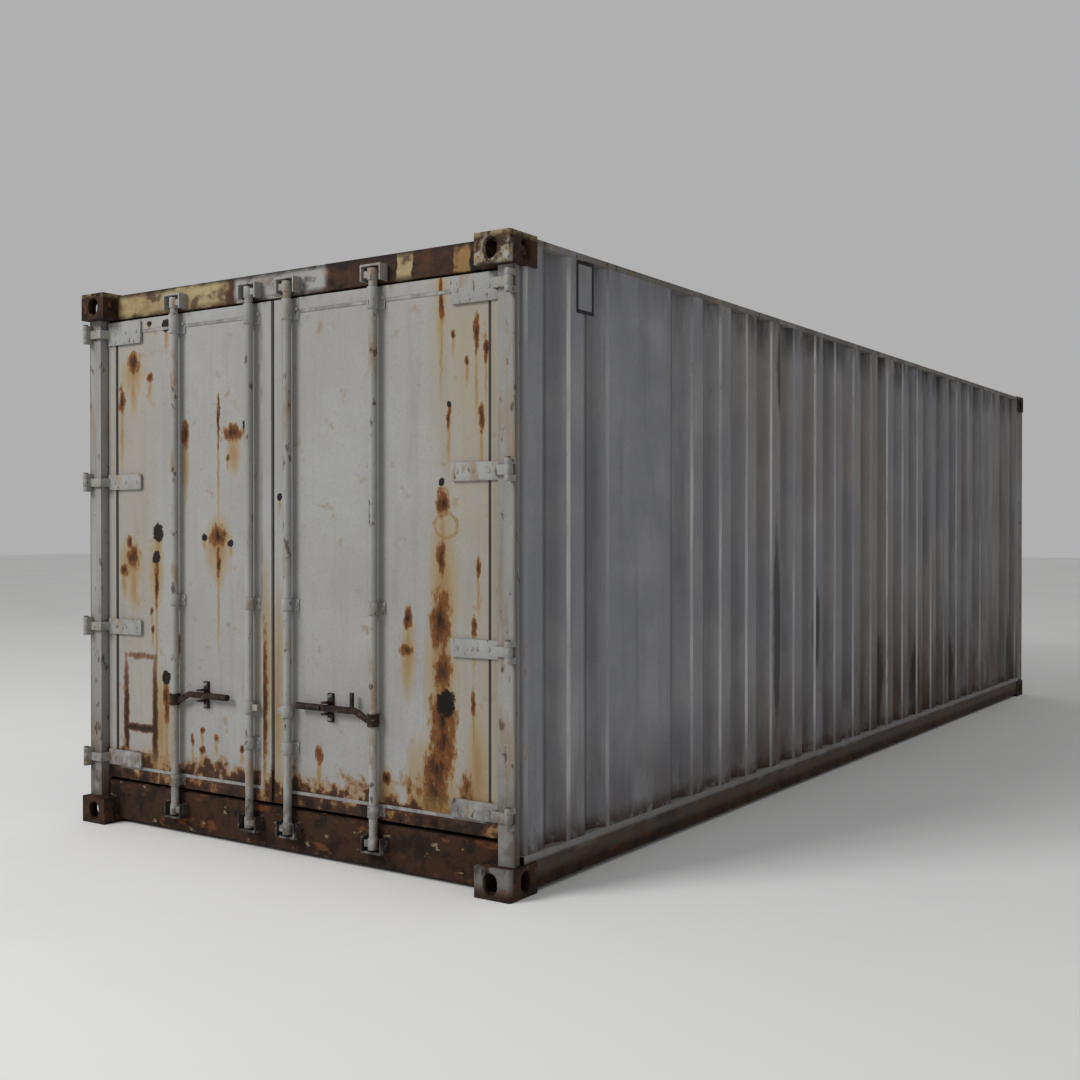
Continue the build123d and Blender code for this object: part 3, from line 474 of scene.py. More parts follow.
# Coats made of layers alone; grit is raised by depth in millimetres, rain is the share of streaks and specks
Coat = namedtuple(
    "Coat", "name base roughness layers grit depth rain metallic", defaults=(None, 0.0, None, 0.0)
)
PLAIN_COATS = (
    # Bend highlight paint: a painted highlight, the light line laid down each bend where the sheet turns to
    # the door end and the key light
    Coat("bleached_bend_paint", "bend_paint", 0.7, (
        Layer("wall_paint", 0.85, Cloud(270, 0.4, 0.58, (1, 1, 9))),
        Layer("wall_paint", 0.5, Cloud(120, 0.45, 0.72, (1, 1, 3))),
        Layer("grime", 0.6, Fade("z", 420, 150)),
        # Painted shadow: darker towards the top, under the top rail
        Layer("grime", 0.5, Fade("z", 2280, 2404)),
        Layer("grime", 0.45, Fade("x", -1200, 3600)),
        Layer("rust_pale", 0.5, Cloud(40, 0.6, 0.72, (1, 1, 3))),
    )),
    # Old rail steel: nearly all brown and black rust, with a painted highlight, a light strip along the top
    # edge where the ledge catches the light
    Coat("rusted_rail_paint", "rust_brown", 0.85, (
        Layer("rust_black", 0.8, Cloud(120, 0.42, 0.6)),
        Layer("steel", 0.42, Fade("z", 44, 84), Cloud(90, 0.2, 0.5, (5, 1, 1))),
        Layer("rust_orange", 0.5, Cloud(45, 0.56, 0.7, (3, 1, 1))),
        # Painted highlight: light strip along the top edge of the rail
        Layer("chalky_paint", 0.5, Fade("z", 116, 132), Cloud(60, 0.2, 0.45, (5, 1, 1))),
        Layer("wall_paint", 0.7, Fade("z", 90, 150), Cloud(40, 0.5, 0.6, (3, 1, 1))),
    ), grit=Cloud(18, 0.35, 0.7), depth=0.8),
    # Sill steel: dark flaking rust with orange patches and a few scraps of cream paint
    Coat("rusted_sill_steel", "rust_brown", 0.88, (
        Layer("rust_black", 0.75, Cloud(85, 0.44, 0.62)),
        Layer("rust_orange", 0.8, Cloud(60, 0.55, 0.66, (1, 2, 1))),
        Layer("old_cream", 0.6, Cloud(38, 0.63, 0.67, (1, 2, 1))),
    ), grit=Cloud(16, 0.35, 0.7), depth=1.0),
    # Cast steel corner: brown rust, with scraps of paint left on the near corners' end faces
    Coat("worn_cast_steel", "rust_brown", 0.8, (
        Layer("rust_black", 0.85, Cloud(70, 0.42, 0.58)),
        Layer("old_cream", 0.85, *NEAR_TOP),
        Layer("chalky_paint", 0.85, *NEAR_TOP, Cloud(45, 0.42, 0.6)),
        Layer("door_paint", 0.45, *NEAR_FOOT),
        Layer("old_cream", 0.7, Fade("z", 2412, 2434), Cloud(50, 0.36, 0.56)),
        Layer("rust_orange", 0.7, Cloud(35, 0.56, 0.66)),
    ), grit=Cloud(9, 0.3, 0.7), depth=0.5),
    # Gear paint: thick greyish white brushed over hinges, guides and keepers, rusty, dark at the foot
    Coat("brushed_gear_paint", "bar_paint", 0.6, (
        Layer("rust_pale", 0.5, Cloud(45, 0.52, 0.66, (1, 1, 2))),
        Layer("rust_brown", 0.75, Cloud(22, 0.6, 0.67, (1, 1, 2))),
        Layer("rust_brown", 0.75, Fade("z", 420, 200), Cloud(60, 0.36, 0.6)),
        Layer("rust_black", 0.8, Fade("z", 200, 150), Cloud(30, 0.2, 0.5)),
    ), rain=(0.25, 0.6)),
    # Bar paint: white tube with grey rub marks, rusty rings and a brown foot
    Coat("rubbed_bar_paint", "bar_paint", 0.5, (
        Layer("rust_pale", 0.6, Cloud(80, 0.52, 0.64, (1, 1, 3))),
        Layer("rust_brown", 0.75, Cloud(40, 0.6, 0.66, (1, 1, 2))),
        Layer("rust_brown", 0.7, Fade("z", 330, 130), Cloud(50, 0.36, 0.6)),
    ), rain=(0.125, 0.7)),
    # Handle steel: paint worn off the handles and catches to dark brown, nearly black metal
    Coat("worn_grip_steel", "rust_black", 0.55, (
        Layer("rust_brown", 0.8, Cloud(30, 0.42, 0.62)),
        Layer("steel", 0.5, Cloud(16, 0.6, 0.68)),
    ), grit=Cloud(7, 0.35, 0.7), depth=0.2),
    # Bare steel: grey-brown worn metal of the hinge pins with rust in the low places
    Coat("worn_bare_steel", "steel", 0.55, (
        Layer("rust_brown", 0.9, Cloud(30, 0.42, 0.6)),
        Layer("rust_black", 0.8, Cloud(18, 0.55, 0.66)),
    ), grit=Cloud(8, 0.35, 0.7), depth=0.3, metallic=0.5),
    # Roof paint: chalky white over the shaded wall paint, so it carries that painted shade, with dirt and
    # spots of rust
    Coat("chalky_roof_paint", "wall_paint", 0.75, (
        Layer("chalky_paint", 0.7, Cloud(500, 0.4, 0.65)),
        Layer("grime", 0.5, Cloud(220, 0.5, 0.7, (1, 3, 1))),
        Layer("rust_pale", 0.6, Cloud(160, 0.56, 0.7)),
        Layer("rust_brown", 0.8, Cloud(45, 0.62, 0.68)),
    ), grit=Cloud(30, 0.3, 0.8), depth=0.15),
    # Plywood: brown boards with long grain, dark wheel marks and scuffs
    Coat("container_plywood", "plywood", 0.65, (
        Layer("plywood_dark", 0.7, Cloud(12, 0.4, 0.7, (25, 1, 1))),
        Layer("grime", 0.5, Cloud(300, 0.5, 0.68, (4, 1, 1))),
    ), grit=Cloud(8, 0.35, 0.7, (25, 1, 1)), depth=0.2),
    # Underframe coating: dark tarry primer with brown rust on the flanges
    Coat("dark_primer", "primer", 0.8, (
        Layer("rust_brown", 0.85, Cloud(120, 0.44, 0.62)),
        Layer("rust_orange", 0.6, Cloud(40, 0.6, 0.68)),
    ), grit=Cloud(14, 0.35, 0.7), depth=0.4),
    # Seal rubber: dull black lip with grey dust
    Coat("gasket_rubber", "rubber", 0.75, (
        Layer("grime", 0.6, Cloud(60, 0.42, 0.7)),
    ), grit=Cloud(6, 0.35, 0.7), depth=0.1),
    # Sealant: a bead painted over with the leaf, cracked open to black down the hinge side
    Coat("cracked_sealant", "door_paint", 0.7, (
        Layer("grime", 0.5, Cloud(60, 0.36, 0.66, (1, 1, 3))),
        Layer("rubber", 0.9, Fade("away", 1030, 1060)),
    ), grit=Cloud(12, 0.35, 0.7), depth=0.3),
    # Black line paint: the outline of the empty placard frame, a little worn
    Coat("black_line_paint", "black_line", 0.6, (
        Layer("grime", 0.5, Cloud(25, 0.5, 0.7)),
    )),
)


def drips(marks):
    """Run-off below each mark: narrower, lower and longer."""
    return tuple(
        Mark(
            mark.across,
            mark.rise - DRIP_DROP * mark.half_height,
            DRIP_WIDTH * mark.half_width,
            DRIP_LENGTH * mark.half_height,
        )
        for mark in marks
    )


def weathered(finish, streaks, specks):
    """Lay cloudy wear, rain streaks and small rust specks over painted sheet."""
    cloud = finish.shown(Cloud(420, 0.38, 0.72))
    finish.lay("chalky_paint", cloud, share=0.55)
    finish.layers(
        Layer("grime", streaks, Cloud(60, 0.46, 0.8, (1, 1, 14))),
        Layer("grime", 0.14, Cloud(9, 0.42, 0.75)),
        Layer("rust_orange", specks, Cloud(14, 0.68, 0.74), Cloud(260, 0.52, 0.64)),
    )
    finish.roughen(CHALK_ROUGH, cloud)
    finish.raise_by(depth=0.12, mask=finish.shown(Cloud(35, 0.3, 0.8)))


def wall_paint(name, slope_shading=()):
    """Weathered white alkyd paint: cool grey-white sheet with rain runs, painted shade in the recesses and a
    rusty foot.
    """
    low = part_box("right_side_wall")[0]
    skin = -low.y / MM
    finish = Finish(name, "wall_paint", roughness=0.6)
    finish.wandering(grain=55, reach=16)
    weathered(finish, streaks=0.25, specks=0.3)
    # Painted shade: grime colour in the recesses of the corrugation, deeper in the deeper part
    recess_shade = Fade("away", skin - RECESS_LIP, skin - RECESS_DEPTH)
    later = (Fade("z", 1150, 180), Fade("x", -2200, 1200))
    # Painted shadow under the top rail: grime colour all along and black rust colour further from the door
    # end
    top = (Fade("z", 2180, 2404), Cloud(90, 0.36, 0.62, (1, 1, 5)))
    finish.layers(
        Layer("grime", 0.38, recess_shade, Cloud(200, 0.2, 0.6, (1, 1, 5))),
        *slope_shading,
        Layer("rust_pale", 0.22, Fade("x", -2600, -1200), Cloud(500, 0.36, 0.66, (1, 1, 3))),
        Layer("rust_brown", 0.55, Fade("z", 620, 150), Cloud(130, 0.3, 0.6, (1, 1, 3.5))),
        Layer("rust_brown", 0.75, *later, Cloud(170, 0.26, 0.62, (1, 1, 4))),
        Layer("rust_orange", 0.6, *later, Cloud(34, 0.56, 0.66, (1, 1, 2))),
        Layer("rust_brown", 0.85, Fade("z", 235, 152), Cloud(55, 0.34, 0.54)),
        Layer("rust_black", 0.75, *top, Fade("x", -2600, -1100)),
        Layer("grime", 0.35, *top),
        Layer("grime", 0.4, Fade("x", -1500, 3600), Cloud(110, 0.32, 0.66, (1, 1, 8))),
    )
    runs = finish.marks(WALL_GRIME, low.y, WALL_REACH, along="x")
    finish.steps(finish.ragged(runs, grain=60, strength=0.9, stretch=(1, 1, 6)), GRIME_STEPS)
    finish.done()


def leaf_paint(name, leaf):
    """Weathered door paint: grey-white steel face with its own rust holes, blisters and run-off stains."""
    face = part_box("right_leaf_panel")[0].x
    finish = Finish(name, "door_paint", roughness=0.58)
    finish.wandering(grain=48, reach=14)
    weathered(finish, streaks=0.15, specks=0.75)
    wash = Layer("stain_yellow", leaf.wash, Fade("away", 740, 840), Cloud(260, 0.24, 0.55, (1, 1, 3)))
    finish.layers(wash)
    runs = leaf.stains + drips(leaf.rust) + drips(leaf.holes)
    stain = finish.marks(runs, face, LEAF_REACH)
    finish.steps(finish.ragged(stain, grain=55, strength=0.9, stretch=(1, 1, 7)), STAIN_STEPS)
    sore = finish.marks(leaf.rust, face, LEAF_REACH)
    blister = finish.ragged(sore, grain=26, strength=1.75, stretch=(1, 1, 2))
    torn = finish.steps(blister, SORE_STEPS)["rust_orange"]
    if leaf.placards:
        finish.steps(outline_marks(finish, leaf.placards), PLACARD_STEPS)
    finish.layers(Layer("rust_pale", 0.8, Fade("z", 400, 215), Cloud(80, 0.34, 0.6, (1, 1, 3))))
    creep = finish.together(finish.shown(Fade("z", 440, 205)), finish.shown(Cloud(75, 0.25, 0.75)))
    finish.steps(creep, CREEP_STEPS)
    if leaf.rings:
        ring = finish.marks(leaf.rings, face, LEAF_REACH)
        inner = finish.outside(finish.ramp(ring, *RING_INNER))
        loop = finish.both(finish.ramp(ring, *RING_OUTER), inner)
        finish.layers(Layer("rust_pale", 0.85, loop, Cloud(30, 0.3, 0.55)))
    pit = finish.marks(leaf.holes, face, LEAF_REACH)
    hole = finish.ragged(pit, grain=20, strength=1.25, stretch=EVEN)
    sunk = finish.steps(hole, HOLE_STEPS)["rust_black"]
    finish.roughen(RUST_ROUGH, torn)
    finish.raise_by(depth=-0.5, mask=torn)
    finish.raise_by(depth=-1.5, mask=sunk)
    finish.done()


def outline_marks(finish, frames):
    """Ragged field along the outlines of upright rectangles, fainter above."""
    total = None
    moved = add_node(finish.tree, "ShaderNodeSeparateXYZ", {0: finish.wander})
    for mark in frames:
        across = finish.gap(moved.outputs[1], mark.across * MM)
        rise = finish.gap(moved.outputs[2], mark.rise * MM)
        outside_y = finish.together(across, -mark.half_width * MM)
        outside_z = finish.together(rise, -mark.half_height * MM)
        away = finish.gap(finish.either(outside_y, outside_z), 0.0)
        edge = finish.outside(finish.ramp(away, 0.0, OUTLINE_REACH))
        total = edge if total is None else finish.either(total, edge)
    lower = finish.both(finish.shown(Fade("z", 760, 500)), 1 - FAINT_OUTLINE)
    kept = finish.shown(total, Fade("x", -3540, -3560), finish.together(lower, FAINT_OUTLINE))
    return finish.ragged(kept, grain=45, strength=0.9, stretch=(1, 1, 2))


def frame_paint():
    """Chipped frame paint: dull white posts and top rails, darker brown on their outer side faces, and rust
    at the foot.
    """
    finish = Finish("chipped_frame_paint", "door_paint", roughness=0.62)
    weathered(finish, streaks=0.3, specks=0.8)
    stain = finish.shown(Cloud(70, 0.52, 0.66, (1, 1, 5)))
    finish.layers(
        Layer("rust_brown", 0.5, Fade("away", 1196, 1208), Cloud(160, 0.2, 0.6, (1, 1, 5))),
        Layer("grime", 0.3, Cloud(240, 0.25, 0.7, (1, 1, 4))),
        Layer("rust_pale", 0.45, stain),
        Layer("rust_brown", 0.75, Cloud(40, 0.6, 0.68, (1, 1, 2))),
        Layer("rust_brown", 0.6, Fade("z", 600, 130), Cloud(90, 0.3, 0.6)),
    )
    finish.roughen(STAIN_ROUGH, stain)
    finish.done()


def header_paint():
    """Header paint: yellowed cream, bleached white and bare brown rust in turn along the beam."""
    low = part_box("door_header")[0]
    finish = Finish("patchy_header_paint", "rust_brown", roughness=0.75)
    finish.wandering(grain=60, reach=24)
    finish.layers(Layer("rust_black", 0.8, Fade("y", -150, -450), Cloud(90, 0.36, 0.56, (1, 1.5, 1))))
    for patch in HEADER_PATCHES:
        span = Mark(patch.across, HEADER_RISE, patch.half_width, HEADER_REACH / MM)
        field = finish.marks((span,), low.x, HEADER_REACH)
        finish.lay(patch.colour, finish.ramp(field, *PATCH_RIM))
    finish.layers(
        Layer("rust_orange", 0.5, Cloud(110, 0.46, 0.68, (1, 1.6, 1))),
        Layer("rust_brown", 0.8, Cloud(80, 0.5, 0.64, (1, 1.4, 1))),
        Layer("rust_black", 0.85, Fade("z", 2405, 2430), Cloud(50, 0.34, 0.5, (1, 3, 1))),
        Layer("rust_brown", 0.85, Fade("z", 2350, 2324), Cloud(40, 0.36, 0.54, (1, 3, 1))),
    )
    finish.raise_by(depth=0.6, mask=finish.shown(Cloud(24, 0.35, 0.7)))
    finish.done()


def plain_coat(coat):
    """A finish made of layers alone, over rain wear if it has any."""
    finish = Finish(coat.name, coat.base, coat.roughness, coat.metallic)
    if coat.rain:
        weathered(finish, *coat.rain)
    finish.layers(*coat.layers)
    if coat.grit:
        finish.raise_by(coat.depth, finish.shown(coat.grit))
    finish.done()


# Node names of each finish
FINISH_NODES = {
    "weathered_wall_paint": pair("side_wall") + ("front_wall",),
    "chipped_frame_paint": pair("door_post", "front_post", "top_rail") + ("front_top_rail",),
    "rusted_rail_paint": pair("bottom_rail") + ("front_bottom_rail",),
    "rusted_sill_steel": ("door_sill",),
    "patchy_header_paint": ("door_header",),
    "worn_cast_steel": (
        "door_bottom_castings", "door_top_castings", "front_bottom_castings", "front_top_castings",
    ),
    "right_leaf_paint": ("right_leaf_panel", "right_leaf_channel"),
    "left_leaf_paint": ("left_leaf_panel", "left_leaf_channel"),
    "brushed_gear_paint": pair("hinge_blades", "bar_guides", "handle_stub") + ("hinge_lugs", "bar_keepers"),
    "rubbed_bar_paint": ("right_outer_bar", "right_inner_bar", "left_outer_bar", "left_inner_bar"),
    "worn_grip_steel": pair("handle", "handle_catch"),
    "worn_bare_steel": ("hinge_pins",),
    "chalky_roof_paint": ("roof_sheet", "roof_end_plates"),
    "container_plywood": ("floor_sheets",),
    "dark_primer": ("cross_members",),
    "gasket_rubber": pair("leaf_gasket"),
}
SLOT_OF = {part["node"]: part["material_slot"] for part in frame["record"]["subparts"]}
CASTINGS = FINISH_NODES["worn_cast_steel"]
FRAME_NODES = FINISH_NODES["chipped_frame_paint"] + ("door_header", "door_sill", "front_bottom_rail")
FRAME_NODES += pair("bottom_rail")
HINGE_NODES = ("hinge_lugs",) + pair("hinge_blades")
GEAR_NODES = pair("bar_guides", "handle_stub", "handle_catch", "handle") + ("bar_keepers",)
GEAR_NODES += FINISH_NODES["rubbed_bar_paint"]
# Limits for reading a shape: same points in metres, turns between faces, slip of an upright edge, tilts
SAME_POINT = 1e-5
FLAT_TURN = math.radians(1)
SHARP_TURN = math.radians(38)
BEND_TURN = (math.radians(15), math.radians(75))
UPRIGHT_SLIP = 1e-4
RIDGE_REACH = 12 * MM
AWAY_TILT = 0.2
SKIN_TILT = 0.05
FRONT_TILT = 0.9
ROUND_PROFILE = 0.5
# Material places of a wall sheet and of the placard frame; the first is plain paint, and on a wall sheet the
# second is the painted highlight of the bends and the third the painted shade of the slopes
PLAIN_PLACE = 0
HIGHLIGHT_PLACE = 1
SHADED_PLACE = 2
LINE_PLACE = 1
# Fixings: the share that a head narrows to, and the sides of round and six-sided heads
STUD_TAPER = 0.9
ROUND_SIDES = 24
BOLT_SIDES = 6


def new_piece(name, shape, body, slot, *finishes):
    """Turn a bmesh into a smooth shaded object that rides on a body, with the finishes of those names."""
    mesh = bpy.data.meshes.new(name)
    shape.to_mesh(mesh)
    shape.free()
    for finish in finishes:
        mesh.materials.append(bpy.data.materials[finish])
    mesh.polygons.foreach_set("use_smooth", [True] * len(mesh.polygons))
    piece = bpy.data.objects.new(name, mesh)
    bpy.context.scene.collection.objects.link(piece)
    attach(piece, body)
    return piece


def whole_copy(node):
    """The mesh of a CAD node as a bmesh, its triangles joined into whole flat faces."""
    shape = bmesh.new()
    shape.from_mesh(frame["nodes"][node].data)
    bmesh.ops.remove_doubles(shape, verts=shape.verts, dist=SAME_POINT)
    bmesh.ops.dissolve_limit(shape, angle_limit=FLAT_TURN, verts=shape.verts, edges=shape.edges)
    bmesh.ops.recalc_face_normals(shape, faces=shape.faces)
    for face in shape.faces:
        face.material_index = PLAIN_PLACE
    return shape


def rounded_copy(node, width):
    """A copy of a CAD node with its sharp edges rounded, which stands for that node."""
    finish = frame["nodes"][node].data.materials[0].name
    piece = new_piece(node + "_worn", whole_copy(node), BODY_OF[node], SLOT_OF[node], finish)
    bevel = piece.modifiers.new("rounded_edges", "BEVEL")
    bevel.width = width
    bevel.segments = sizes().edge_segments
    bevel.limit_method = "ANGLE"
    bevel.angle_limit = SHARP_TURN
    bevel.harden_normals = True
    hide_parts(node)


def bent_wall(node, outward, worn=False):
    """A wall sheet pressed from its outer skin; when worn, outer bends that turn to the door end get a
    painted highlight and faces that turn away get painted shade.
    """
    facing = Vector(outward)
    shape = whole_copy(node)
    hidden = [face for face in shape.faces if face.normal.dot(facing) < SKIN_TILT]
    bmesh.ops.delete(shape, geom=hidden, context="FACES")
    bends = []
    for edge in shape.edges:
        run = edge.verts[0].co - edge.verts[1].co
        upright = abs(run.x) < UPRIGHT_SLIP and abs(run.y) < UPRIGHT_SLIP
        if upright and len(edge.link_faces) == 2 and BEND_TURN[0] < edge.calc_face_angle() < BEND_TURN[1]:
            bends.append(edge)
    made = bmesh.ops.bevel(
        shape, geom=bends, offset=sizes().bend_width, offset_type="OFFSET", segments=sizes().bend_segments,
        profile=ROUND_PROFILE, affect="EDGES", clamp_overlap=False, material=-1,
    )
    # Painted light: faces turned away from the door end get painted shade, lit outer bends a painted
    # highlight
    if worn:
        outer = max(vert.co.dot(facing) for vert in shape.verts)
        for face in shape.faces:
            if face.normal.x > AWAY_TILT:
                face.material_index = SHADED_PLACE
        # Painted highlight: outer bends that turn to the door end and the key light
        for face in made["faces"]:
            near = outer - face.calc_center_median().dot(facing) < RIDGE_REACH
            if near and face.normal.x < 0:
                face.material_index = HIGHLIGHT_PLACE
    bmesh.ops.solidify(shape, geom=shape.faces[:], thickness=sizes().wall_sheet)
    bmesh.ops.recalc_face_normals(shape, faces=shape.faces)
    for face in shape.faces:
        if face.normal.dot(facing) < SKIN_TILT:
            face.material_index = PLAIN_PLACE
    piece = new_piece(
        node + "_pressed", shape, BODY_OF[node], SLOT_OF[node],
        "weathered_wall_paint", "bleached_bend_paint", "soiled_slope_paint",
    )
    piece.data.set_sharp_from_angle(angle=SHARP_TURN)
    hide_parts(node)


def add_stud(shape, place, outward, across, height, sides):
    """Add a round or six-sided stud that stands on a place and points outward."""
    turn = Vector(outward).to_track_quat("Z", "Y").to_matrix().to_4x4()
    middle = Vector(place) + Vector(outward) * height / 2
    bmesh.ops.create_cone(
        shape, cap_ends=True, segments=sides, radius1=across / 2, radius2=STUD_TAPER * across / 2,
        depth=height, matrix=Matrix.Translation(middle) @ turn,
    )


def add_bolt(shape, place, outward):
    """Add a washer and a six-sided bolt head on a place."""
    size = sizes()
    add_stud(shape, place, outward, size.washer_across, size.washer_height, ROUND_SIDES)
    top = Vector(place) + Vector(outward) * size.washer_height
    add_stud(shape, top, outward, size.bolt_across, size.bolt_height, BOLT_SIDES)


def add_rivet(shape, place, outward):
    """Add a low round rivet head on a place."""
    size = sizes()
    add_stud(shape, place, outward, size.rivet_across, size.rivet_height, ROUND_SIDES)


def fixings_piece(name, places, add_fixing, body):
    """One piece that holds like fixings on the outer face of a body."""
    shape = bmesh.new()
    for place in places:
        add_fixing(shape, place, TO_DOOR_END)
    piece = new_piece(name, shape, body, "bar_paint", "brushed_gear_paint")
    piece.data.set_sharp_from_angle(angle=SHARP_TURN)


def solids_of(node):
    """The boxes, lowest and highest corner, of the separate solids in a CAD node, in order of place."""
    shape = whole_copy(node)
    left = set(shape.verts)
    boxes = []
    while left:
        waiting = [left.pop()]
        found = list(waiting)
        while waiting:
            vert = waiting.pop()
            near = {edge.other_vert(vert) for edge in vert.link_edges} & left
            left -= near
            found.extend(near)
            waiting.extend(near)
        places = [tuple(vert.co) for vert in found]
        boxes.append(tuple(tuple(map(pick, zip(*places))) for pick in (min, max)))
    shape.free()
    return [(Vector(low), Vector(high)) for low, high in sorted(boxes)]


# Where the gear's bolts stand, in metres
GUIDE_BASE = 6 * MM
GUIDE_BOLT_OFFSET = 31 * MM
CATCH_BOLT_OFFSET = 46 * MM
CATCH_PLATE = 6 * MM
STRAP_BOLT_STEPS = (30 * MM, 105 * MM, 180 * MM)
STRAP_STAND = 10 * MM
CHANNEL_WIDTH = 50 * MM
TO_DOOR_END = (-1.0, 0.0, 0.0)
# The empty placard frame: distance from the door end, drop from the top, width and height, in metres
PLACARD_START = 457 * MM
PLACARD_DROP = 3 * MM
PLACARD_WIDTH = 128 * MM
PLACARD_HEIGHT = 206 * MM
# Camera and lights of the stage
CAMERA_PLACE = (-7.4999, -3.94, 1.3493)
CAMERA_YAW = math.radians(33.982)
CAMERA_PITCH = math.radians(-0.421)
CAMERA_LENS = 43.593
CAMERA_FAR = 500.0
KEY_PLACE = (-13.0, 4.5, 8.5)
KEY_AIM = (-3.6, 0.2, 1.0)
KEY_SIZE = 5.0
KEY_WATTS = 1050.0
AMBIENT = 0.44


class CONTAINER_OT_finishes(bpy.types.Operator):
    """Make the paints, rusts and other finishes and give each CAD node its own."""

    bl_idname = "container.finishes"
    bl_label = "Make finishes"

    def execute(self, context):
        wall_paint("weathered_wall_paint")
        # Painted shade: the slope paint is the wall paint with grime laid on as shade
        wall_paint("soiled_slope_paint", SLOPE_SHADE)
        for name, leaf in LEAVES.items():
            leaf_paint(name + "_leaf_paint", leaf)
        frame_paint()
        header_paint()
        for coat in PLAIN_COATS:
            plain_coat(coat)
        for name, nodes in FINISH_NODES.items():
            for node in nodes:
                mesh = frame["nodes"][node].data
                mesh.materials.clear()
                mesh.materials.append(bpy.data.materials[name])
        return {"FINISHED"}


class CONTAINER_OT_walls(bpy.types.Operator):
    """Round the bends of the corrugated side and front walls."""

    bl_idname = "container.walls"
    bl_label = "Press walls"

    def execute(self, context):
        for name, side in SIDES.items():
            bent_wall(name + "_side_wall", (0.0, side, 0.0), worn=True)
        bent_wall("front_wall", (1.0, 0.0, 0.0))
        return {"FINISHED"}


class CONTAINER_OT_frame(bpy.types.Operator):
    """Round the edges of the posts, rails, header, sill and corner castings."""

    bl_idname = "container.frame"
    bl_label = "Round frame"

    def execute(self, context):
        for node in FRAME_NODES:
            rounded_copy(node, sizes().frame_edge)
        for node in CASTINGS:
            rounded_copy(node, sizes().casting_edge)
        return {"FINISHED"}


class CONTAINER_OT_leaves(bpy.types.Operator):
    """Round the edge channels and run a sealant bead round each leaf panel."""

    bl_idname = "container.leaves"
    bl_label = "Finish leaves"

    def execute(self, context):
        size = sizes()
        for name in SIDES:
            rounded_copy(name + "_leaf_channel", size.gear_edge)
            low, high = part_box(name + "_leaf_channel")
            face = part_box(name + "_leaf_panel")[0].x
            middle = (low + high) / 2
            shape = bmesh.new()
            turn = Matrix.Rotation(-math.pi / 2, 4, "Y")
            across = high.y - low.y - 2 * CHANNEL_WIDTH
            tall = high.z - low.z - 2 * CHANNEL_WIDTH
            wide = Matrix.Diagonal((1.0, across, tall, 1.0))
            bmesh.ops.create_grid(
                shape, x_segments=1, y_segments=1, size=0.5,
                matrix=Matrix.Translation((face, middle.y, middle.z)) @ wide @ turn,
            )
            panel = shape.faces[:]
            bmesh.ops.inset_region(
                shape, faces=panel, thickness=size.bead_width, use_even_offset=True, use_boundary=True
            )
            bmesh.ops.delete(shape, geom=panel, context="FACES")
            raised = bmesh.ops.extrude_face_region(shape, geom=shape.faces[:])
            lifted = [item for item in raised["geom"] if isinstance(item, bmesh.types.BMVert)]
            bmesh.ops.translate(shape, verts=lifted, vec=(-size.bead_height, 0.0, 0.0))
            bmesh.ops.recalc_face_normals(shape, faces=shape.faces)
            leaf = name + "_leaf"
            bead = new_piece(leaf + "_sealant", shape, leaf, "gasket_rubber", "cracked_sealant")
            bead.data.set_sharp_from_angle(angle=SHARP_TURN)
        return {"FINISHED"}


class CONTAINER_OT_hinges(bpy.types.Operator):
    """Round the hinge lugs and blades and rivet the straps to the leaves."""

    bl_idname = "container.hinges"
    bl_label = "Finish hinges"

    def execute(self, context):
        for node in HINGE_NODES:
            rounded_copy(node, sizes().gear_edge)
        for name, side in SIDES.items():
            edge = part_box(name + "_leaf_channel")
            start = edge[0].y if side < 0 else edge[1].y
            front = edge[0].x - STRAP_STAND
            places = []
            for low, high in solids_of(name + "_hinge_blades"):
                rise = (low.z + high.z) / 2
                for step in STRAP_BOLT_STEPS:
                    places.append((front, start - side * (CHANNEL_WIDTH / 2 + step), rise))
            fixings_piece(name + "_strap_rivets", places, add_rivet, name + "_leaf")
        return {"FINISHED"}


class CONTAINER_OT_locking_gear(bpy.types.Operator):
    """Round the bars, guides, handles, catches and keepers and add the bolts."""

    bl_idname = "container.locking_gear"
    bl_label = "Finish locking gear"

    def execute(self, context):
        size = sizes()
        for node in GEAR_NODES:
            rounded_copy(node, size.gear_edge)
        for name in SIDES:
            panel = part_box(name + "_leaf_panel")[0].x
            places = []
            for low, high in solids_of(name + "_bar_guides"):
                middle = (low + high) / 2
                for turn in (-1, 1):
                    places.append((panel - GUIDE_BASE, middle.y + turn * GUIDE_BOLT_OFFSET, middle.z))
            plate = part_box(name + "_leaf_channel")[0].x - CATCH_PLATE
            low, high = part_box(name + "_handle_catch")
            middle = (low + high) / 2
            for turn in (-1, 1):
                places.append((plate, middle.y, middle.z + turn * CATCH_BOLT_OFFSET))
            fixings_piece(name + "_gear_bolts", places, add_bolt, name + "_leaf")
        return {"FINISHED"}


class CONTAINER_OT_placard_frame(bpy.types.Operator):
    """Set the empty black-lined placard frame on the right side wall."""

    bl_idname = "container.placard_frame"
    bl_label = "Add placard frame"

    def execute(self, context):
        size = sizes()
        low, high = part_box("right_side_wall")
        door_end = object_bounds()[0].x
        middle = Vector((
            door_end + PLACARD_START + PLACARD_WIDTH / 2,
            low.y - size.placard_thick / 2,
            high.z - PLACARD_DROP - PLACARD_HEIGHT / 2,
        ))
        spread = Matrix.Diagonal((PLACARD_WIDTH, size.placard_thick, PLACARD_HEIGHT, 1.0))
        shape = bmesh.new()
        bmesh.ops.create_cube(shape, size=1.0, matrix=Matrix.Translation(middle) @ spread)
        front = [face for face in shape.faces if face.normal.y < -FRONT_TILT]
        rim = bmesh.ops.inset_region(shape, faces=front, thickness=size.placard_line, use_even_offset=True)
        for face in rim["faces"]:
            face.material_index = LINE_PLACE
        piece = new_piece(
            "right_placard_frame", shape, "box", "white_paint", "weathered_wall_paint", "black_line_paint"
        )
        piece.data.set_sharp_from_angle(angle=SHARP_TURN)
        return {"FINISHED"}


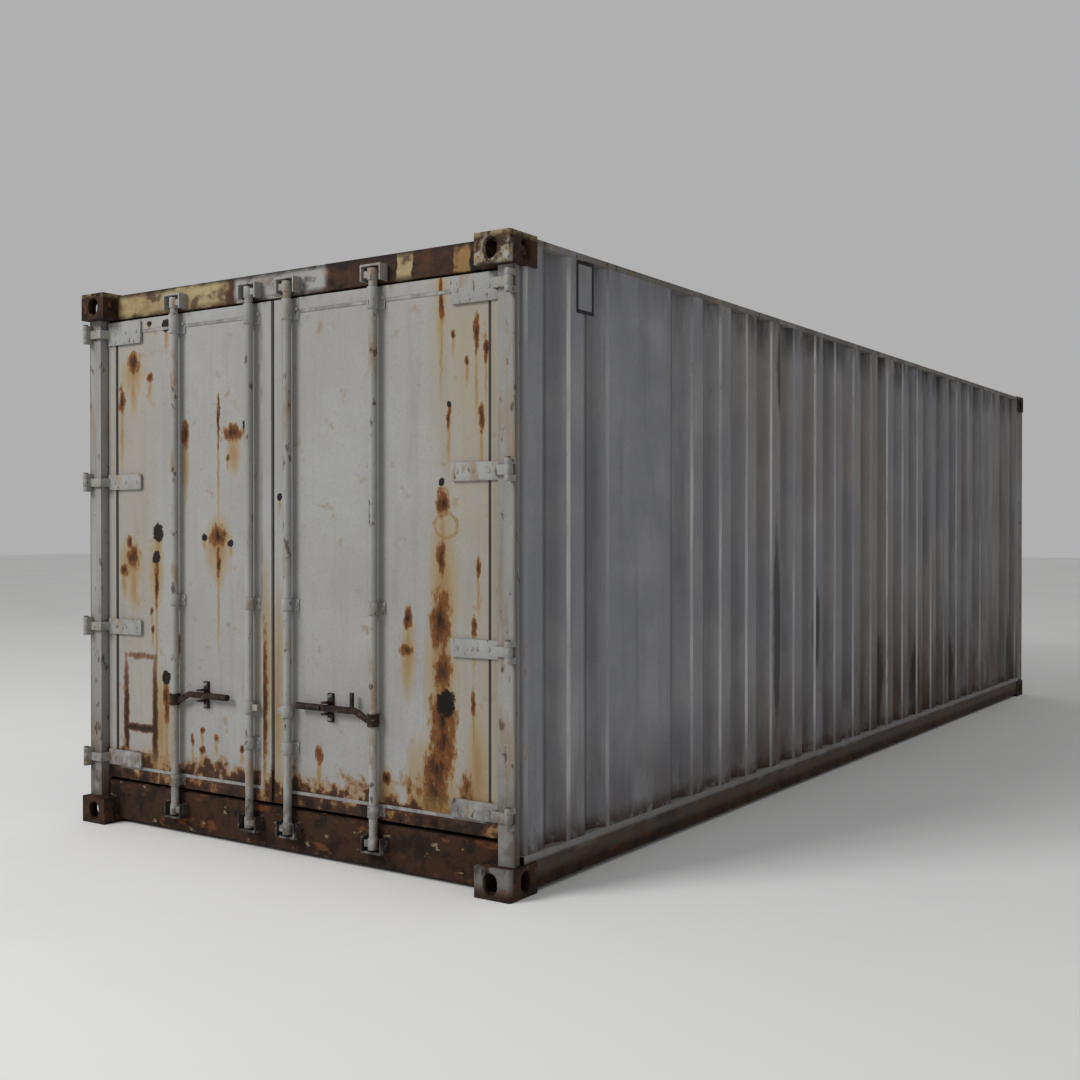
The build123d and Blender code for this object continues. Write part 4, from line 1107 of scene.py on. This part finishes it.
class CONTAINER_OT_stage(bpy.types.Operator):
    """Set the pale floor, the soft studio light and the camera."""

    bl_idname = "container.stage"
    bl_label = "Set stage"

    def execute(self, context):
        scene = context.scene
        ground = bmesh.new()
        bmesh.ops.create_grid(ground, x_segments=1, y_segments=1, size=sizes().floor_half)
        mesh = bpy.data.meshes.new("studio_floor")
        ground.to_mesh(mesh)
        ground.free()
        finish = Finish("studio_floor", "floor", roughness=0.9)
        finish.layers(Layer("backdrop", 0.1, Cloud(4000, 0.4, 0.7)))
        finish.done()
        mesh.materials.append(finish.material)
        floor = bpy.data.objects.new("studio_floor", mesh)
        scene.collection.objects.link(floor)
        floor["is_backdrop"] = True

        world = bpy.data.worlds.new("studio_world")
        scene.world = world
        world.use_nodes = True
        tree = world.node_tree
        tree.nodes.clear()
        path = add_node(tree, "ShaderNodeLightPath")
        seen = path.outputs["Is Camera Ray"]
        for ray in ("Is Glossy Ray", "Is Transmission Ray"):
            either = {0: seen, 1: path.outputs[ray]}
            seen = add_node(tree, "ShaderNodeMath", either, operation="MAXIMUM").outputs[0]
        soft = add_node(tree, "ShaderNodeBackground", {"Color": (1.0, 1.0, 1.0, 1.0), "Strength": AMBIENT})
        plain = add_node(tree, "ShaderNodeBackground", {"Color": tuple(colours().backdrop), "Strength": 1.0})
        mixed = add_node(tree, "ShaderNodeMixShader", {0: seen, 1: soft.outputs[0], 2: plain.outputs[0]})
        add_node(tree, "ShaderNodeOutputWorld", {"Surface": mixed.outputs[0]})

        key = bpy.data.lights.new("key_light", "AREA")
        key.shape = "SQUARE"
        key.size = KEY_SIZE
        key.energy = KEY_WATTS
        lamp = bpy.data.objects.new("key_light", key)
        lamp.location = KEY_PLACE
        lamp.rotation_euler = (Vector(KEY_AIM) - Vector(KEY_PLACE)).to_track_quat("-Z", "Y").to_euler()
        scene.collection.objects.link(lamp)

        lens = bpy.data.cameras.new("camera")
        lens.lens = CAMERA_LENS
        lens.clip_end = CAMERA_FAR
        camera = bpy.data.objects.new("camera", lens)
        camera.location = CAMERA_PLACE
        camera.rotation_euler = (math.pi / 2 + CAMERA_PITCH, 0.0, CAMERA_YAW - math.pi / 2)
        scene.collection.objects.link(camera)
        scene.camera = camera
        scene.view_settings.view_transform = "Standard"
        return {"FINISHED"}


class CONTAINER_PT_panel(bpy.types.Panel):
    """Panel that holds the container's settings and operators."""

    bl_idname = "CONTAINER_PT_panel"
    bl_label = "Shipping container"
    bl_space_type = "VIEW_3D"
    bl_region_type = "UI"
    bl_category = "Container"

    def draw(self, context):
        for group in (context.scene.container_sizes, context.scene.container_colours):
            column = self.layout.column()
            for setting in group.__annotations__:
                column.prop(group, setting)
        for operator in OPERATORS:
            self.layout.operator(operator.bl_idname)


OPERATORS = (
    CONTAINER_OT_finishes,
    CONTAINER_OT_walls,
    CONTAINER_OT_frame,
    CONTAINER_OT_leaves,
    CONTAINER_OT_hinges,
    CONTAINER_OT_locking_gear,
    CONTAINER_OT_placard_frame,
    CONTAINER_OT_stage,
)
CLASSES = (ContainerColours, ContainerSizes) + OPERATORS + (CONTAINER_PT_panel,)


def register():
    """Register the settings, operators and panel."""
    for item in CLASSES:
        bpy.utils.register_class(item)
    bpy.types.Scene.container_colours = PointerProperty(type=ContainerColours)
    bpy.types.Scene.container_sizes = PointerProperty(type=ContainerSizes)


def unregister():
    """Take the settings, operators and panel away again."""
    del bpy.types.Scene.container_sizes
    del bpy.types.Scene.container_colours
    for item in reversed(CLASSES):
        bpy.utils.unregister_class(item)


def main():
    """Build the looks in order."""
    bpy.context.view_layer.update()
    register()
    bpy.ops.container.finishes()
    bpy.ops.container.walls()
    bpy.ops.container.frame()
    bpy.ops.container.leaves()
    bpy.ops.container.hinges()
    bpy.ops.container.locking_gear()
    bpy.ops.container.placard_frame()
    bpy.ops.container.stage()


if __name__ == "__main__":
    main()
